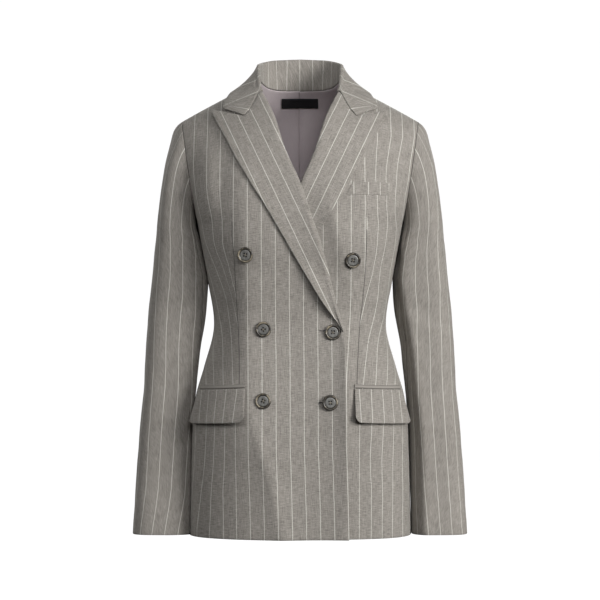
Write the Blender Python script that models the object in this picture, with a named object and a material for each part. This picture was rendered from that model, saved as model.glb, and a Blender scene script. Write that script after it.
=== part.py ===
"""Double breasted blazer, open and hollow as when worn. The wearer faces -Y and up is +Z.

Sizes are in millimetres. A panel is a sheet of cloth with a thickness. The points of a side are
worked out on the +X side, where x is called `own` because it grows towards that side's sleeve,
and are mirrored for the other side.
"""

from collections import namedtuple

import bmesh
import bpy
import numpy as np

for old in list(bpy.data.objects):
    bpy.data.objects.remove(old)

MM = 0.001
GAP = 0.3
CLOTH = 2.0
FRONT, BACK = -1, 1
SIDES = {"left": 1, "right": -1}
STEP, DEGREE_STEP, HALVINGS = 1e-3, 0.1, 45
SHARP_ANGLE = 40
UP = np.array([0.0, 0.0, 1.0])

# Rows of the trunk. A row runs round the body from the centre to the side seam or, above the
# armpit, to the armhole. It is at `height` on the centre line and `front` and `back` deep there.
TrunkRow = namedtuple("TrunkRow", "height half_width front back")
TRUNK = (
    TrunkRow(-678, 166.0, 133, 120),
    TrunkRow(-620, 164.5, 134, 122),
    TrunkRow(-560, 162.6, 135, 124),
    TrunkRow(-506, 160.5, 133, 120),
    TrunkRow(-470, 155.0, 129, 113),
    TrunkRow(-430, 143.5, 122, 101),
    TrunkRow(-365, 128.5, 113, 88),
    TrunkRow(-300, 138.0, 123, 97),
    TrunkRow(-240, 149.0, 135, 108),
    TrunkRow(-217, 153.0, 136, 111),
)
# Rows above the armpit end on the armhole, `round_armhole` degrees from the shoulder point.
# They sweep `sweep` degrees of an oval and fall towards the armhole with the power `slope`.
YokeRow = namedtuple("YokeRow", "height round_armhole front back sweep slope")
YOKE = (
    YokeRow(-217, 180, 136, 111, 90, 2.0),
    YokeRow(-165, 114, 129, 112, 70, 1.9),
    YokeRow(-110, 84, 113, 107, 52, 1.7),
    YokeRow(-60, 60, 90, 95, 45, 1.5),
    YokeRow(-22, 41, 62, 75, 40, 1.35),
    YokeRow(6, 21, 31, 43, 35, 1.23),
    YokeRow(22, 0, 0, 0, 30, 1.19),
)
OvalRow = namedtuple("OvalRow", "height power")
FRONT_OVAL = (OvalRow(-678, 3.0), OvalRow(-170, 3.0), OvalRow(-70, 2.3), OvalRow(22, 2.3))
BACK_OVAL, SLEEVE_FRONT_OVAL, SLEEVE_BACK_OVAL = 2.3, 3.0, 2.0
HEM, ARMPIT, RIDGE = TRUNK[0].height, YOKE[0].height, YOKE[-1].height

# The armhole is an egg seen from the side, and leans out at the shoulder.
ARMHOLE_X, ARMHOLE_LEAN = 165.0, 12.0
ARMHOLE_Z, ARMHOLE_HALF_HEIGHT = -140.0, 77.0
ARMHOLE_HALF_DEPTH = {FRONT: 55.0, BACK: 60.0}
ARMHOLE_EGG = 0.15
ARMHOLE_SAMPLES = 400
# The sleeve's seam stands this far outside the armhole's.
SLEEVE_CLEARANCE = 0.4
# Normals of trunk and sleeve whose cosine is over the first are mixed, over the second are shared.
MIX_FROM, MIX_FULL = -0.2, 0.2

# Inner edge of a front: the front edge below the break, the fold of the lapel above it.
EdgePoint = namedtuple("EdgePoint", "z own")
FRONT_EDGE = (
    EdgePoint(-678, -71.0),
    EdgePoint(-604, -69.5),
    EdgePoint(-475, -67.5),
    EdgePoint(-402, -65.0),
    EdgePoint(-384, -62.5),
    EdgePoint(-372, -59.0),
    EdgePoint(-350, -52.5),
    EdgePoint(-327, -46.7),
    EdgePoint(-276, -34.3),
    EdgePoint(-240, -24.3),
    EdgePoint(-211, -13.7),
    EdgePoint(-160, 3.8),
    EdgePoint(-134, 15.8),
    EdgePoint(-106, 27.0),
    EdgePoint(-68, 38.3),
    EdgePoint(-40, 50.3),
    EdgePoint(-20, 59.6),
    EdgePoint(0, 61.5),
)
BACK_NECK = (
    EdgePoint(-13.0, 0),
    EdgePoint(-13.0, 22),
    EdgePoint(-12.5, 36),
    EdgePoint(-10.5, 48),
    EdgePoint(-6.5, 57),
    EdgePoint(-2.2, 61.5),
)

# The wearer's right front lies over the left one, and over its lapel above the break.
Lift = namedtuple("Lift", "z amount")
OVERLAP_LIFT = (
    Lift(-678, 3.1),
    Lift(-440, 3.1),
    Lift(-385, 6.8),
    Lift(-300, 7.8),
    Lift(-160, 7.6),
    Lift(-125, 3.5),
    Lift(-85, 0.0),
    Lift(22, 0.0),
)
LIFT_STARTS, LIFT_FULL = 125.0, 75.0

SleeveRow = namedtuple("SleeveRow", "z outer inner middle_y half_depth")
SLEEVE = (
    SleeveRow(-677, 249.0, 166.0, -24, 42),
    SleeveRow(-620, 246.0, 164.8, -19, 42.5),
    SleeveRow(-560, 242.0, 163.1, -12, 43.5),
    SleeveRow(-507, 238.3, 161.2, -7, 44.5),
    SleeveRow(-453, 233.0, 156.6, -2, 45.5),
    SleeveRow(-399, 231.0, 150.4, 1, 47),
    SleeveRow(-345, 226.5, 141.4, 2, 49),
    SleeveRow(-300, 222.0, 139.4, 1, 52),
    SleeveRow(-270, 219.0, 144.4, 0, 54),
    SleeveRow(-240, 215.5, 149.9, -1, 56),
    SleeveRow(-217, 213.5, 153.4, -2, 58),
    SleeveRow(-165, 207.0, 153.4, -1, 60),
    SleeveRow(-129, 202.0, 153.4, 0, 60),
    SleeveRow(-93, 194.0, 153.4, 0, 60),
    SleeveRow(-78, 190.0, 153.4, 0, 60),
    SleeveRow(-69, 184.5, 153.4, 0, 60),
    SleeveRow(-63, 177.4, 153.4, 0, 60),
)
CUFF = SLEEVE[0].z
CROWN_SHARE, CROWN_POWER = 0.16, 2.5
# Angles round the sleeve, from the outer line and positive to the front.
SeamPoint = namedtuple("SeamPoint", "share angle")
FRONT_SEAM = (SeamPoint(0, 126), SeamPoint(0.3, 136), SeamPoint(0.65, 158), SeamPoint(1, 164))
BACK_SEAM = -110.0
HALF_GAP_ANGLE = 0.4


def unit(vectors):
    return vectors / np.linalg.norm(vectors, axis=-1, keepdims=True)


def smooth(knots, values):
    """A curve through the values that never swings past them."""
    knots, values = np.asarray(knots, float), np.asarray(values, float)
    run = np.diff(knots)
    slope = np.diff(values) / run
    before, after = slope[:-1], slope[1:]
    turning = before * after <= 0
    near, far = 2 * run[1:] + run[:-1], run[1:] + 2 * run[:-1]
    safe_before, safe_after = np.where(turning, 1, before), np.where(turning, 1, after)
    inside = (near + far) / (near / safe_before + far / safe_after)
    tangent = np.concatenate([slope[:1], np.where(turning, 0, inside), slope[-1:]])

    def at(x):
        x = np.clip(x, knots[0], knots[-1])
        i = np.clip(np.searchsorted(knots, x, side="right") - 1, 0, len(run) - 1)
        u = (x - knots[i]) / run[i]
        rise = tangent[i] * u * (1 - u) ** 2 - tangent[i + 1] * u**2 * (1 - u)
        return values[i] + (values[i + 1] - values[i]) * u**2 * (3 - 2 * u) + run[i] * rise

    return at


def column(rows, key, value):
    return smooth([getattr(row, key) for row in rows], [getattr(row, value) for row in rows])


def smooth_step(x, start, end):
    share = np.clip((x - start) / (end - start), 0, 1)
    return share**2 * (3 - 2 * share)


def solve(below, low, high):
    """The value at which below(value) turns false, found by halving."""
    low, high = np.broadcast_arrays(low, high)
    low, high = low.astype(float), high.astype(float)
    for _ in range(HALVINGS):
        middle = (low + high) / 2
        under = below(middle)
        low, high = np.where(under, middle, low), np.where(under, high, middle)
    return (low + high) / 2


HALF_WIDTH = column(TRUNK, "height", "half_width")
ROUND_ARMHOLE = column(YOKE, "height", "round_armhole")
SWEEP, SLOPE = column(YOKE, "height", "sweep"), column(YOKE, "height", "slope")
DEPTH = {
    FRONT: column(TRUNK + YOKE[1:], "height", "front"),
    BACK: column(TRUNK + YOKE[1:], "height", "back"),
}
OVAL = {FRONT: column(FRONT_OVAL, "height", "power"), BACK: lambda height: BACK_OVAL}
EDGE_OWN = column(FRONT_EDGE, "z", "own")
NECK_Z = column(BACK_NECK, "own", "z")
LIFT = column(OVERLAP_LIFT, "z", "amount")
OUTER, INNER = column(SLEEVE, "z", "outer"), column(SLEEVE, "z", "inner")
MIDDLE_Y, HALF_DEPTH = column(SLEEVE, "z", "middle_y"), column(SLEEVE, "z", "half_depth")
SEAM_ANGLE = column(FRONT_SEAM, "share", "angle")


def armhole(face, degrees):
    high, deep = np.cos(np.radians(degrees)), np.sin(np.radians(degrees))
    x = ARMHOLE_X + ARMHOLE_LEAN * high
    y = ARMHOLE_HALF_DEPTH[face] * deep * (1 - ARMHOLE_EGG * high)
    return x, y, ARMHOLE_Z + ARMHOLE_HALF_HEIGHT * high


def row_end(face, height):
    """Where a row ends: its x, its depth and its z."""
    x, depth, z = armhole(face, ROUND_ARMHOLE(height))
    below = height <= ARMPIT
    return (
        np.where(below, HALF_WIDTH(height), x),
        np.where(below, 0, depth),
        np.where(below, height, z),
    )


def oval(radians, power):
    wide, deep = np.sin(radians), np.cos(radians)
    size = (np.abs(wide) ** power + np.abs(deep) ** power) ** (1 / power)
    return wide / size, deep / size


def row_z(face, own, height):
    x_end, _, z_end = row_end(face, height)
    return height - (height - z_end) * np.minimum(np.abs(own) / x_end, 1) ** SLOPE(height)


def row_own(face, turn, height):
    sweep = np.radians(SWEEP(height))
    power = OVAL[face](height)
    return row_end(face, height)[0] * oval(turn * sweep, power)[0] / oval(sweep, power)[0]


def trunk(face, turn, height):
    """The outer face of the trunk, `turn` of the way from the centre to the end of a row."""
    sweep = np.radians(SWEEP(height))
    own = row_own(face, turn, height)
    depth, end_depth = DEPTH[face](height), row_end(face, height)[1]
    power = OVAL[face](height)
    fall = (1 - oval(turn * sweep, power)[1]) / (1 - oval(sweep, power)[1])
    y = face * (depth - (depth - end_depth) * fall + GAP / 2)
    return np.stack([own, y, row_z(face, own, height)], -1)


def trunk_normal(face, turn, height):
    across = trunk(face, turn + STEP, height) - trunk(face, turn - STEP, height)
    top = np.minimum(height + STEP, RIDGE)
    along = trunk(face, turn, top) - trunk(face, turn, top - 2 * STEP)
    return unit(np.cross(across, along)) * -face


def find(face, own, z):
    """The turn and height of the trunk's point at this x and z."""
    own, z = np.broadcast_arrays(np.asarray(own, float), np.asarray(z, float))
    height = solve(lambda h: row_z(face, own, h) < z, HEM, RIDGE)
    turn = solve(lambda t: row_own(face, t, height) < np.abs(own), np.zeros_like(own), 1.0)
    return turn * np.sign(own), height


def lift(side, own, z):
    """How far the overlapping front stands off the trunk."""
    if side == "left":
        return np.zeros_like(own)
    return LIFT(z) * smooth_step(-own, -LIFT_STARTS, -LIFT_FULL)


def on_front(side, own, z, offset):
    """A point this far outside a front's outer face, at this x and z of the trunk."""
    turn, height = find(FRONT, own, z)
    normal = trunk_normal(FRONT, turn, height)
    return trunk(FRONT, turn, height) + normal * (lift(side, own, z) + offset)[..., None]


def sleeve(degrees, share):
    """The outer face of the sleeve, `share` of the way from the armhole to the cuff."""
    angle = np.radians(degrees)
    deep = np.where(degrees >= 0, ARMHOLE_HALF_DEPTH[FRONT], ARMHOLE_HALF_DEPTH[BACK])
    high = np.cos(angle)
    start_x = ARMHOLE_X + ARMHOLE_LEAN * high + SLEEVE_CLEARANCE
    start_y = -deep * np.sin(angle) * (1 - ARMHOLE_EGG * high)
    start_z = ARMHOLE_Z + ARMHOLE_HALF_HEIGHT * high

    power = np.where(degrees >= 0, SLEEVE_FRONT_OVAL, SLEEVE_BACK_OVAL)
    wide, forward = oval(np.pi / 2 - angle, power)

    def tube(z):
        x = (OUTER(z) + INNER(z)) / 2 + (OUTER(z) - INNER(z)) / 2 * wide
        return x, MIDDLE_Y(z) - HALF_DEPTH(z) * forward

    z = start_z + (CUFF - start_z) * share
    crown = (1 - np.clip(share / CROWN_SHARE, 0, 1)) ** CROWN_POWER
    x, y = tube(z)
    first_x, first_y = tube(start_z)
    return np.stack([x + crown * (start_x - first_x), y + crown * (start_y - first_y), z], -1)


def sleeve_normal(degrees, share):
    low = np.maximum(share - STEP, 0)
    around = sleeve(degrees + DEGREE_STEP, share) - sleeve(degrees - DEGREE_STEP, share)
    along = sleeve(degrees, low + 2 * STEP) - sleeve(degrees, low)
    return unit(np.cross(around, along))


def armhole_normals(face, degrees):
    """Normals at the armhole seam, of the trunk and of the sleeve.

    Where the two sheets bend outwards they share one normal, so that their end faces are parallel.
    """
    heights = np.linspace(ARMPIT, RIDGE, ARMHOLE_SAMPLES)
    height = np.interp(-degrees, -ROUND_ARMHOLE(heights), heights)
    trunk_side = trunk_normal(face, np.ones_like(height), height)
    trunk_side[..., 1] *= degrees > STEP
    sleeve_side = sleeve_normal(-face * degrees, np.zeros_like(height))
    agree = (trunk_side * sleeve_side).sum(-1, keepdims=True)
    shared = unit(trunk_side + sleeve_side)
    weight = np.clip((agree - MIX_FROM) / (MIX_FULL - MIX_FROM), 0, 1)
    return [unit(own * (1 - weight) + shared * weight) for own in (trunk_side, sleeve_side)]


def grid_normals(points):
    across = np.gradient(points, axis=1)
    along = np.gradient(points, axis=0)
    return unit(np.cross(across, along))


Material = namedtuple("Material", "red green blue roughness")
MATERIALS = {
    "wool": Material(0.27, 0.255, 0.225, 0.9),
    "lining": Material(0.26, 0.22, 0.235, 0.5),
    "horn": Material(0.035, 0.03, 0.028, 0.35),
    "label": Material(0.01, 0.01, 0.011, 0.7),
}


def add_object(name, bm, material):
    bmesh.ops.recalc_face_normals(bm, faces=bm.faces)
    mesh = bpy.data.meshes.new(name)
    bm.to_mesh(mesh)
    bm.free()
    mesh.shade_smooth()
    mesh.set_sharp_from_angle(angle=np.radians(SHARP_ANGLE))
    colour = MATERIALS[material]
    slot = bpy.data.materials.new(f"{name}_{material}")
    slot.use_nodes = True
    shader = slot.node_tree.nodes["Principled BSDF"]
    shader.inputs["Base Color"].default_value = (colour.red, colour.green, colour.blue, 1)
    shader.inputs["Roughness"].default_value = colour.roughness
    shader.inputs["Metallic"].default_value = 0
    mesh.materials.append(slot)
    bpy.context.collection.objects.link(bpy.data.objects.new(name, mesh))


def add_sheet(name, outside, inside, material="wool"):
    """A closed sheet between two grids of points of the same rows and columns."""
    rows, columns = outside.shape[:2]
    bm = bmesh.new()
    outer, inner = (
        [[bm.verts.new(point * MM) for point in row] for row in grid] for grid in (outside, inside)
    )
    for i in range(rows - 1):
        for j in range(columns - 1):
            bm.faces.new((outer[i][j], outer[i][j + 1], outer[i + 1][j + 1], outer[i + 1][j]))
            bm.faces.new((inner[i][j], inner[i + 1][j], inner[i + 1][j + 1], inner[i][j + 1]))
    ring = [(0, j) for j in range(columns)]
    ring += [(i, columns - 1) for i in range(1, rows)]
    ring += [(rows - 1, j) for j in range(columns - 2, -1, -1)]
    ring += [(i, 0) for i in range(rows - 2, 0, -1)]
    for (i, j), (k, m) in zip(ring, ring[1:] + ring[:1]):
        bm.faces.new((outer[i][j], outer[k][m], inner[k][m], inner[i][j]))
    add_object(name, bm, material)


def mirror(points, side):
    return points * np.array([SIDES[side], 1, 1])


ROWS_PER_BAND = 2
ARMPIT_ROWS = (-208.0, -178.0)
FRONT_COLUMNS = 15
BACK_COLUMNS = 4, 6
# Rows above this height are squeezed to end at the back's neck and shoulder.
SQUEEZE_START = -60.0
# Rows this close to the ridge end square.
RIDGE_BAND = 1.0


def row_heights():
    """Heights of the rows of points: two for each row of the tables, and more at the armpit."""
    table = [row.height for row in TRUNK + YOKE[1:]]
    steps = np.arange(0, len(table) - 1 + STEP, 1 / ROWS_PER_BAND)
    return np.sort([*np.interp(steps, np.arange(len(table)), table), *ARMPIT_ROWS])


def seam_trunk_normals(face, turn, height):
    """Normals of a trunk panel whose top row is the ridge and last column its side."""
    normal = trunk_normal(face, turn, height)
    side_height = height[:, -1]
    above = side_height > ARMPIT
    angle = ROUND_ARMHOLE(side_height)
    normal[:, -1, 1] = 0
    normal[above, -1] = armhole_normals(face, angle)[0][above]
    normal[-1, height[-1] > RIDGE - RIDGE_BAND, 1] = 0
    return unit(normal)


def add_front(side):
    height = row_heights()
    end = row_end(FRONT, height)[0]
    own = solve(lambda x: x < EDGE_OWN(row_z(FRONT, x, height)), -end, end)
    first, _ = find(FRONT, own, row_z(FRONT, own, height))
    share = np.linspace(0, 1, FRONT_COLUMNS)
    turn = first[:, None] + (1 - first[:, None]) * share
    height = np.broadcast_to(height[:, None], turn.shape)
    outside = trunk(FRONT, turn, height)
    normal = seam_trunk_normals(FRONT, turn, height)
    outside += normal * lift(side, outside[..., 0], outside[..., 2])[..., None]
    add_sheet(f"front_{side}", *(mirror(p, side) for p in (outside, outside - normal * CLOTH)))


def back_top(turn):
    """The height at which a line up the back meets the neck or the shoulder seam."""

    def below(height):
        own = row_own(BACK, turn, height)
        return (row_z(BACK, own, height) < NECK_Z(own)) | (own > BACK_NECK[-1].own)

    return solve(below, np.full_like(turn, SQUEEZE_START), RIDGE)


def squeezed(height, turn, top):
    """Heights above SQUEEZE_START scaled so that the ridge comes this far from the back's top."""
    share = (back_top(turn) + top - SQUEEZE_START) / (RIDGE - SQUEEZE_START)
    above = SQUEEZE_START + (height - SQUEEZE_START) * share
    return np.where(height < SQUEEZE_START, height, above)


def add_back(side):
    corner = find(BACK, BACK_NECK[-1].own, BACK_NECK[-1].z)[0]
    near, far = BACK_COLUMNS
    turn = np.concatenate([np.linspace(0, corner, near + 1), np.linspace(corner, 1, far + 1)[1:]])
    height, turn = np.meshgrid(row_heights(), turn, indexing="ij")
    height = squeezed(height, turn, 0)
    outside = trunk(BACK, turn, height)
    outside[:, 0, 0] = GAP / 2
    normal = seam_trunk_normals(BACK, turn, height)
    add_sheet(f"back_{side}", *(mirror(p, side) for p in (outside, outside - normal * CLOTH)))


SLEEVE_SHARES = (0, 0.01, 0.025, 0.045, 0.07, 0.1, 0.14, 0.19, 0.25, 0.32)
SLEEVE_SHARES += (0.39, 0.46, 0.54, 0.63, 0.72, 0.81, 0.9, 1)
TOP_COLUMNS, UNDER_COLUMNS = 12, 7


def add_sleeve(name, side, first, last, columns):
    """A sleeve panel between two seams, each an angle or an angle for each share."""
    share = np.array(SLEEVE_SHARES)[:, None] + np.zeros(columns)
    across = np.linspace(0, 1, columns)
    degrees = first(share) * (1 - across) + last(share) * across
    wrapped = (degrees + 180) % 360 - 180
    outside = sleeve(wrapped, share)
    normal = sleeve_normal(wrapped, share)
    ring = wrapped[0]
    face_normals = {face: armhole_normals(face, np.abs(ring))[1] for face in (FRONT, BACK)}
    normal[0] = np.where(ring[:, None] >= 0, face_normals[FRONT], face_normals[BACK])
    add_sheet(f"{name}_{side}", *(mirror(p, side) for p in (outside, outside - normal * CLOTH)))


def add_sleeves(side):
    def back(share):
        return np.full_like(share, BACK_SEAM + HALF_GAP_ANGLE)

    def front(share):
        return SEAM_ANGLE(share) - HALF_GAP_ANGLE

    def under_front(share):
        return SEAM_ANGLE(share) + HALF_GAP_ANGLE

    def under_back(share):
        return np.full_like(share, BACK_SEAM + 360 - HALF_GAP_ANGLE)

    add_sleeve("sleeve_top", side, back, front, TOP_COLUMNS)
    add_sleeve("sleeve_under", side, under_front, under_back, UNDER_COLUMNS)


# The lapel's outer edge from just above the break to its point, then the notch where the collar
# joins it. The gorge is the seam between collar and lapel, from the fold to the notch.
OutlinePoint = namedtuple("OutlinePoint", "own z")
LAPEL_EDGE = (
    OutlinePoint(-49.5, -358),
    OutlinePoint(-29.0, -326),
    OutlinePoint(-6.0, -287),
    OutlinePoint(13.0, -256),
    OutlinePoint(33.5, -221.5),
    OutlinePoint(53.5, -188),
    OutlinePoint(68.0, -166),
    OutlinePoint(92.0, -125.5),
    OutlinePoint(109.0, -92),
    OutlinePoint(127.5, -60),
    OutlinePoint(128.7, -50),
)
GORGE = (OutlinePoint(65.0, -36.0), OutlinePoint(72.2, -49.3), OutlinePoint(81.5, -60.3))
GORGE_GAP = 0.7
LAPEL_BOTTOM, LAPEL_TOP = -364.0, -24.2
LAPEL_ROWS, LAPEL_SAMPLES = 17, 60
# The rows bend to the gorge with this power of their share of the way up.
GORGE_POWER = 3
LAPEL_COLUMNS = (0.12, 0.25, 0.4, 0.55, 0.7, 0.85, 1)
FOLD_RADIUS = {"left": 0.8, "right": 1.4}
LAPEL_EDGE_LIFT = {"left": 0.6, "right": 2.0}
LAPEL_REST = 1.0
FOLD_ANGLES = np.radians([0, 60, 120, 180])
FOLD_GAP = 0.5


def by_length(points, shares):
    """Points at these shares of the length of a line through points."""
    lengths = np.concatenate([[0], np.cumsum(np.linalg.norm(np.diff(points, axis=0), axis=1))])
    at = shares * lengths[-1]
    return np.stack([np.interp(at, lengths, values) for values in points.T], -1)


def lapel_outline():
    """Own and z over the lapel, as a grid of rows from the break up and columns outwards."""
    rows, columns = np.linspace(0, 1, LAPEL_ROWS), np.array(LAPEL_COLUMNS)
    z = np.linspace(LAPEL_BOTTOM, LAPEL_TOP, LAPEL_SAMPLES)
    inner = by_length(np.stack([EDGE_OWN(z), z], -1), rows)
    outer = by_length(np.array(LAPEL_EDGE, float), rows)
    grid = inner[:, None] * (1 - columns[:, None]) + outer[:, None] * columns[:, None]
    corners = np.array([inner[-1], *GORGE, outer[-1]])
    corners[1:4, 1] -= GORGE_GAP
    knots = (0, *LAPEL_COLUMNS[:3], 1)
    top = np.stack([np.interp(columns, knots, corners[:, axis]) for axis in (0, 1)], -1)
    return inner, grid + (top - grid[-1]) * (rows**GORGE_POWER)[:, None, None]


def fold_frame(side, own, z):
    """Along a front's inner edge: the points, the normals and the directions into the front."""
    edge = on_front(side, own, z, np.zeros_like(own))
    turn, height = find(FRONT, own, z)
    normal = trunk_normal(FRONT, turn, height)
    inward = unit(np.cross(np.gradient(edge, axis=0), normal))
    return edge, normal, inward * np.sign(inward[:, :1])


def add_lapel(side):
    inner, grid = lapel_outline()
    edge, normal, inward = fold_frame(side, inner[:, 0], inner[:, 1])
    radius = FOLD_RADIUS[side]

    def rolled(reach):
        along = (-FOLD_GAP - reach * np.sin(FOLD_ANGLES))[:, None] * inward[:, None]
        up = (radius - reach * np.cos(FOLD_ANGLES))[:, None] * normal[:, None]
        return edge[:, None] + along + up

    out = np.array(LAPEL_COLUMNS)
    rest = 2 * radius * (1 - out) ** 3 + LAPEL_EDGE_LIFT[side] * out**2 + LAPEL_REST
    rest = np.broadcast_to(rest, grid.shape[:2])
    flat = [on_front(side, grid[..., 0], grid[..., 1], rest + more) for more in (0, CLOTH)]
    under = np.concatenate([rolled(radius), flat[0]], axis=1)
    shown = np.concatenate([rolled(radius + CLOTH), flat[1]], axis=1)
    add_sheet(f"lapel_{side}", mirror(shown, side), mirror(under, side))


# Stations of the collar from the centre back to the gorge: the seam it stands on, the top of its
# fold and its outer edge. The neck and the edge are points of the trunk.
CollarRow = namedtuple("CollarRow", "neck neck_z fold_x fold_y fold_z edge edge_z")
COLLAR_BACK = (
    CollarRow(0.0, -13.0, 0.0, 70.0, 37.0, 0.0, -25.0),
    CollarRow(22.0, -13.0, 22.0, 68.5, 36.1, 24.0, -26.5),
    CollarRow(36.0, -12.5, 38.0, 62.0, 34.8, 45.0, -30.0),
    CollarRow(48.0, -10.5, 50.0, 50.0, 32.0, 65.0, -34.5),
    CollarRow(57.0, -6.5, 58.5, 34.0, 28.5, 82.0, -34.5),
    CollarRow(61.5, 0.0, 62.5, 12.0, 24.5, 95.0, -28.0),
)
COLLAR_FRONT = (
    CollarRow(61.4, -2.0, 62.6, 2.0, 19.0, 101.0, -23.5),
    CollarRow(61.0, -7.0, 62.0, -9.0, 12.0, 107.5, -31.5),
    CollarRow(60.3, -14.0, 60.2, -30.0, -4.5, 112.3, -40.0),
    CollarRow(58.8, -22.0, 55.1, -45.2, -19.6, 112.6, -49.2),
)
COLLAR_ROWS = 15
COLLAR_RADIUS = 1.2
COLLAR_SEAM = 1.1
COLLAR_REST = 2.9
FALL_COLUMNS = np.arange(1, 7) / 6
STAND_COLUMNS = np.array([0, 0.5])
FALL_BULGE = -2.0
GORGE_REACH = 0.62
# The skin of the trunk that the collar keeps off: samples each way, from this height up.
SKIN_SAMPLES, SKIN_BOTTOM = 90, -120


def clear_of_trunk(points, offset):
    """Points moved out so that they stand off the trunk by at least the offset."""
    heights = np.linspace(SKIN_BOTTOM, RIDGE, SKIN_SAMPLES)
    turn, height = np.meshgrid(np.linspace(0, 1, SKIN_SAMPLES), heights)
    skin = np.concatenate([trunk(face, turn, height).reshape(-1, 3) for face in (FRONT, BACK)])
    out = np.concatenate([trunk_normal(f, turn, height).reshape(-1, 3) for f in (FRONT, BACK)])
    flat = points.reshape(-1, 3).copy()
    nearest = np.linalg.norm(flat[:, None] - skin[None], axis=-1).argmin(1)
    stand_off = ((flat - skin[nearest]) * out[nearest]).sum(-1)
    flat += out[nearest] * np.maximum(offset - stand_off, 0)[:, None]
    return flat.reshape(points.shape)


def collar_half():
    """Three lines of the collar's half, and the gorge end of its fall."""
    rows = COLLAR_BACK + COLLAR_FRONT
    faces = [BACK] * len(COLLAR_BACK) + [FRONT] * len(COLLAR_FRONT)
    neck, edge = [], []
    for row, face in zip(rows, faces):
        turn, height = find(face, [row.neck, row.edge], [row.neck_z, row.edge_z])
        at, normal = trunk(face, turn, height), trunk_normal(face, turn, height)
        neck.append(at[0] + normal[0] * (COLLAR_RADIUS if face == FRONT else 0))
        edge.append(at[1] + normal[1] * (COLLAR_REST + CLOTH))
    fold = [(row.fold_x, row.fold_y, row.fold_z) for row in rows]
    steps = np.linspace(0, len(rows) - 1, COLLAR_ROWS)
    lines = []
    for line in (neck, fold, edge):
        values = np.array(line, float)
        lines.append(np.stack([smooth(range(len(rows)), v)(steps) for v in values.T], -1))
    return lines, steps / steps[-1]


def add_collar():
    (neck, fold, edge), share = collar_half()
    reach = COLLAR_RADIUS + CLOTH
    tangent = unit(np.gradient(fold, axis=0))
    tangent[0] = (1, 0, 0)
    rise = fold - neck
    rise = unit(rise - tangent * (rise * tangent).sum(-1, keepdims=True))
    outward = np.cross(rise, tangent)
    centre = fold - rise * reach
    angles = FOLD_ANGLES[:, None]
    turned = rise[:, None] * np.sin(angles) - outward[:, None] * np.cos(angles)
    roll = centre[:, None] + turned * reach
    foot = neck + rise * COLLAR_SEAM - outward * reach
    stand = foot[:, None] * (1 - STAND_COLUMNS[:, None]) + roll[:, :1] * STAND_COLUMNS[:, None]
    v = FALL_COLUMNS[:, None]
    fall = roll[:, -1:] * (1 - v) + edge[:, None] * v
    fall += outward[:, None] * FALL_BULGE * np.sin(np.pi * v)
    own = np.array([point.own for point in GORGE])
    z = np.array([point.z for point in GORGE])
    gorge = on_front("left", own, z, np.full(3, COLLAR_REST + CLOTH))
    end = fall[-1].copy()
    end[:3] = gorge
    end[2:] = np.linspace(gorge[-1], edge[-1], len(end) - 2)
    weight = smooth_step(share, GORGE_REACH, 1)[:, None, None]
    fall += (end - fall[-1]) * weight
    fall = clear_of_trunk(fall, COLLAR_REST + CLOTH)
    half = np.concatenate([stand, roll, fall], axis=1)
    whole = np.concatenate([half[:0:-1] * (-1, 1, 1), half])
    normal = grid_normals(whole)
    middle = len(share) - 1
    normal *= np.sign(normal[middle, 3, 2])
    add_sheet("collar", whole, whole - normal * CLOTH)


def add_patch(name, side, own, z, rest, thickness):
    """A sheet lying on a front, from grids of own, z and its clearance."""
    under, shown = (on_front(side, own, z, rest + more) for more in (0, thickness))
    add_sheet(name, mirror(shown, side), mirror(under, side))


# Pockets. The flap hangs from the jet, its corners rounded, and flares a little at the bottom.
# It reaches round to FLAP_OUTER where the trunk is POCKET_HALF_WIDTH wide.
FLAP_INNER, FLAP_OUTER, POCKET_HALF_WIDTH = 79.0, 150.0, 154.0
FLAP_TOP, FLAP_DROP = -459.5, 49.0
JET_TOP, JET_FOOT, JET_COLUMNS = -453.0, -458.5, 9
JET_REST, FLAP_REST, WELT_REST = 0.7, 0.7, 0.45
POCKET_SLOPE = -0.045
JET_THICKNESS, WELT_THICKNESS = 1.0, 1.6
FLAP_CORNER, FLAP_OUTER_CORNER = 9.0, 4.0
FLAP_FLARE, FLARE_POWER, CORNER_POWER = 1.6, 1.5, 4
FLAP_ROWS = np.array([0, 0.3, 0.6, 0.85, 1])
FLAP_COLUMNS = np.array([0, 0.025, 0.07, 0.12, 0.25, 0.42, 0.6, 0.78, 0.93, 0.975, 1])


def pocket_own(share, z):
    """Own along a pocket, reaching round the side where the trunk is narrower."""
    return FLAP_INNER + (HALF_WIDTH(z) * FLAP_OUTER / POCKET_HALF_WIDTH - FLAP_INNER) * share


def add_pocket(side):
    share, z = np.meshgrid(np.linspace(0, 1, JET_COLUMNS), [JET_TOP, JET_FOOT])
    own = pocket_own(share, z)
    z = z + POCKET_SLOPE * (own - FLAP_INNER)
    add_patch(f"pocket_jet_{side}", side, own, z, np.full_like(z, JET_REST), JET_THICKNESS)
    share = FLAP_COLUMNS
    length = FLAP_OUTER - FLAP_INNER
    inner = np.clip(FLAP_CORNER - share * length, 0, FLAP_CORNER)
    outer = np.clip(FLAP_OUTER_CORNER - (1 - share) * length, 0, FLAP_OUTER_CORNER)
    rounding = FLAP_CORNER - np.sqrt(FLAP_CORNER**2 - inner**2)
    rounding += FLAP_OUTER_CORNER - np.sqrt(FLAP_OUTER_CORNER**2 - outer**2)
    down = FLAP_ROWS[:, None]
    z = FLAP_TOP - FLAP_DROP * down + rounding * down**CORNER_POWER
    own = pocket_own(share, z)
    z = z + POCKET_SLOPE * (own - FLAP_INNER)
    rest = FLAP_REST + FLAP_FLARE * down**FLARE_POWER + 0 * share
    add_patch(f"pocket_flap_{side}", side, own, z, rest, CLOTH)


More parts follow.
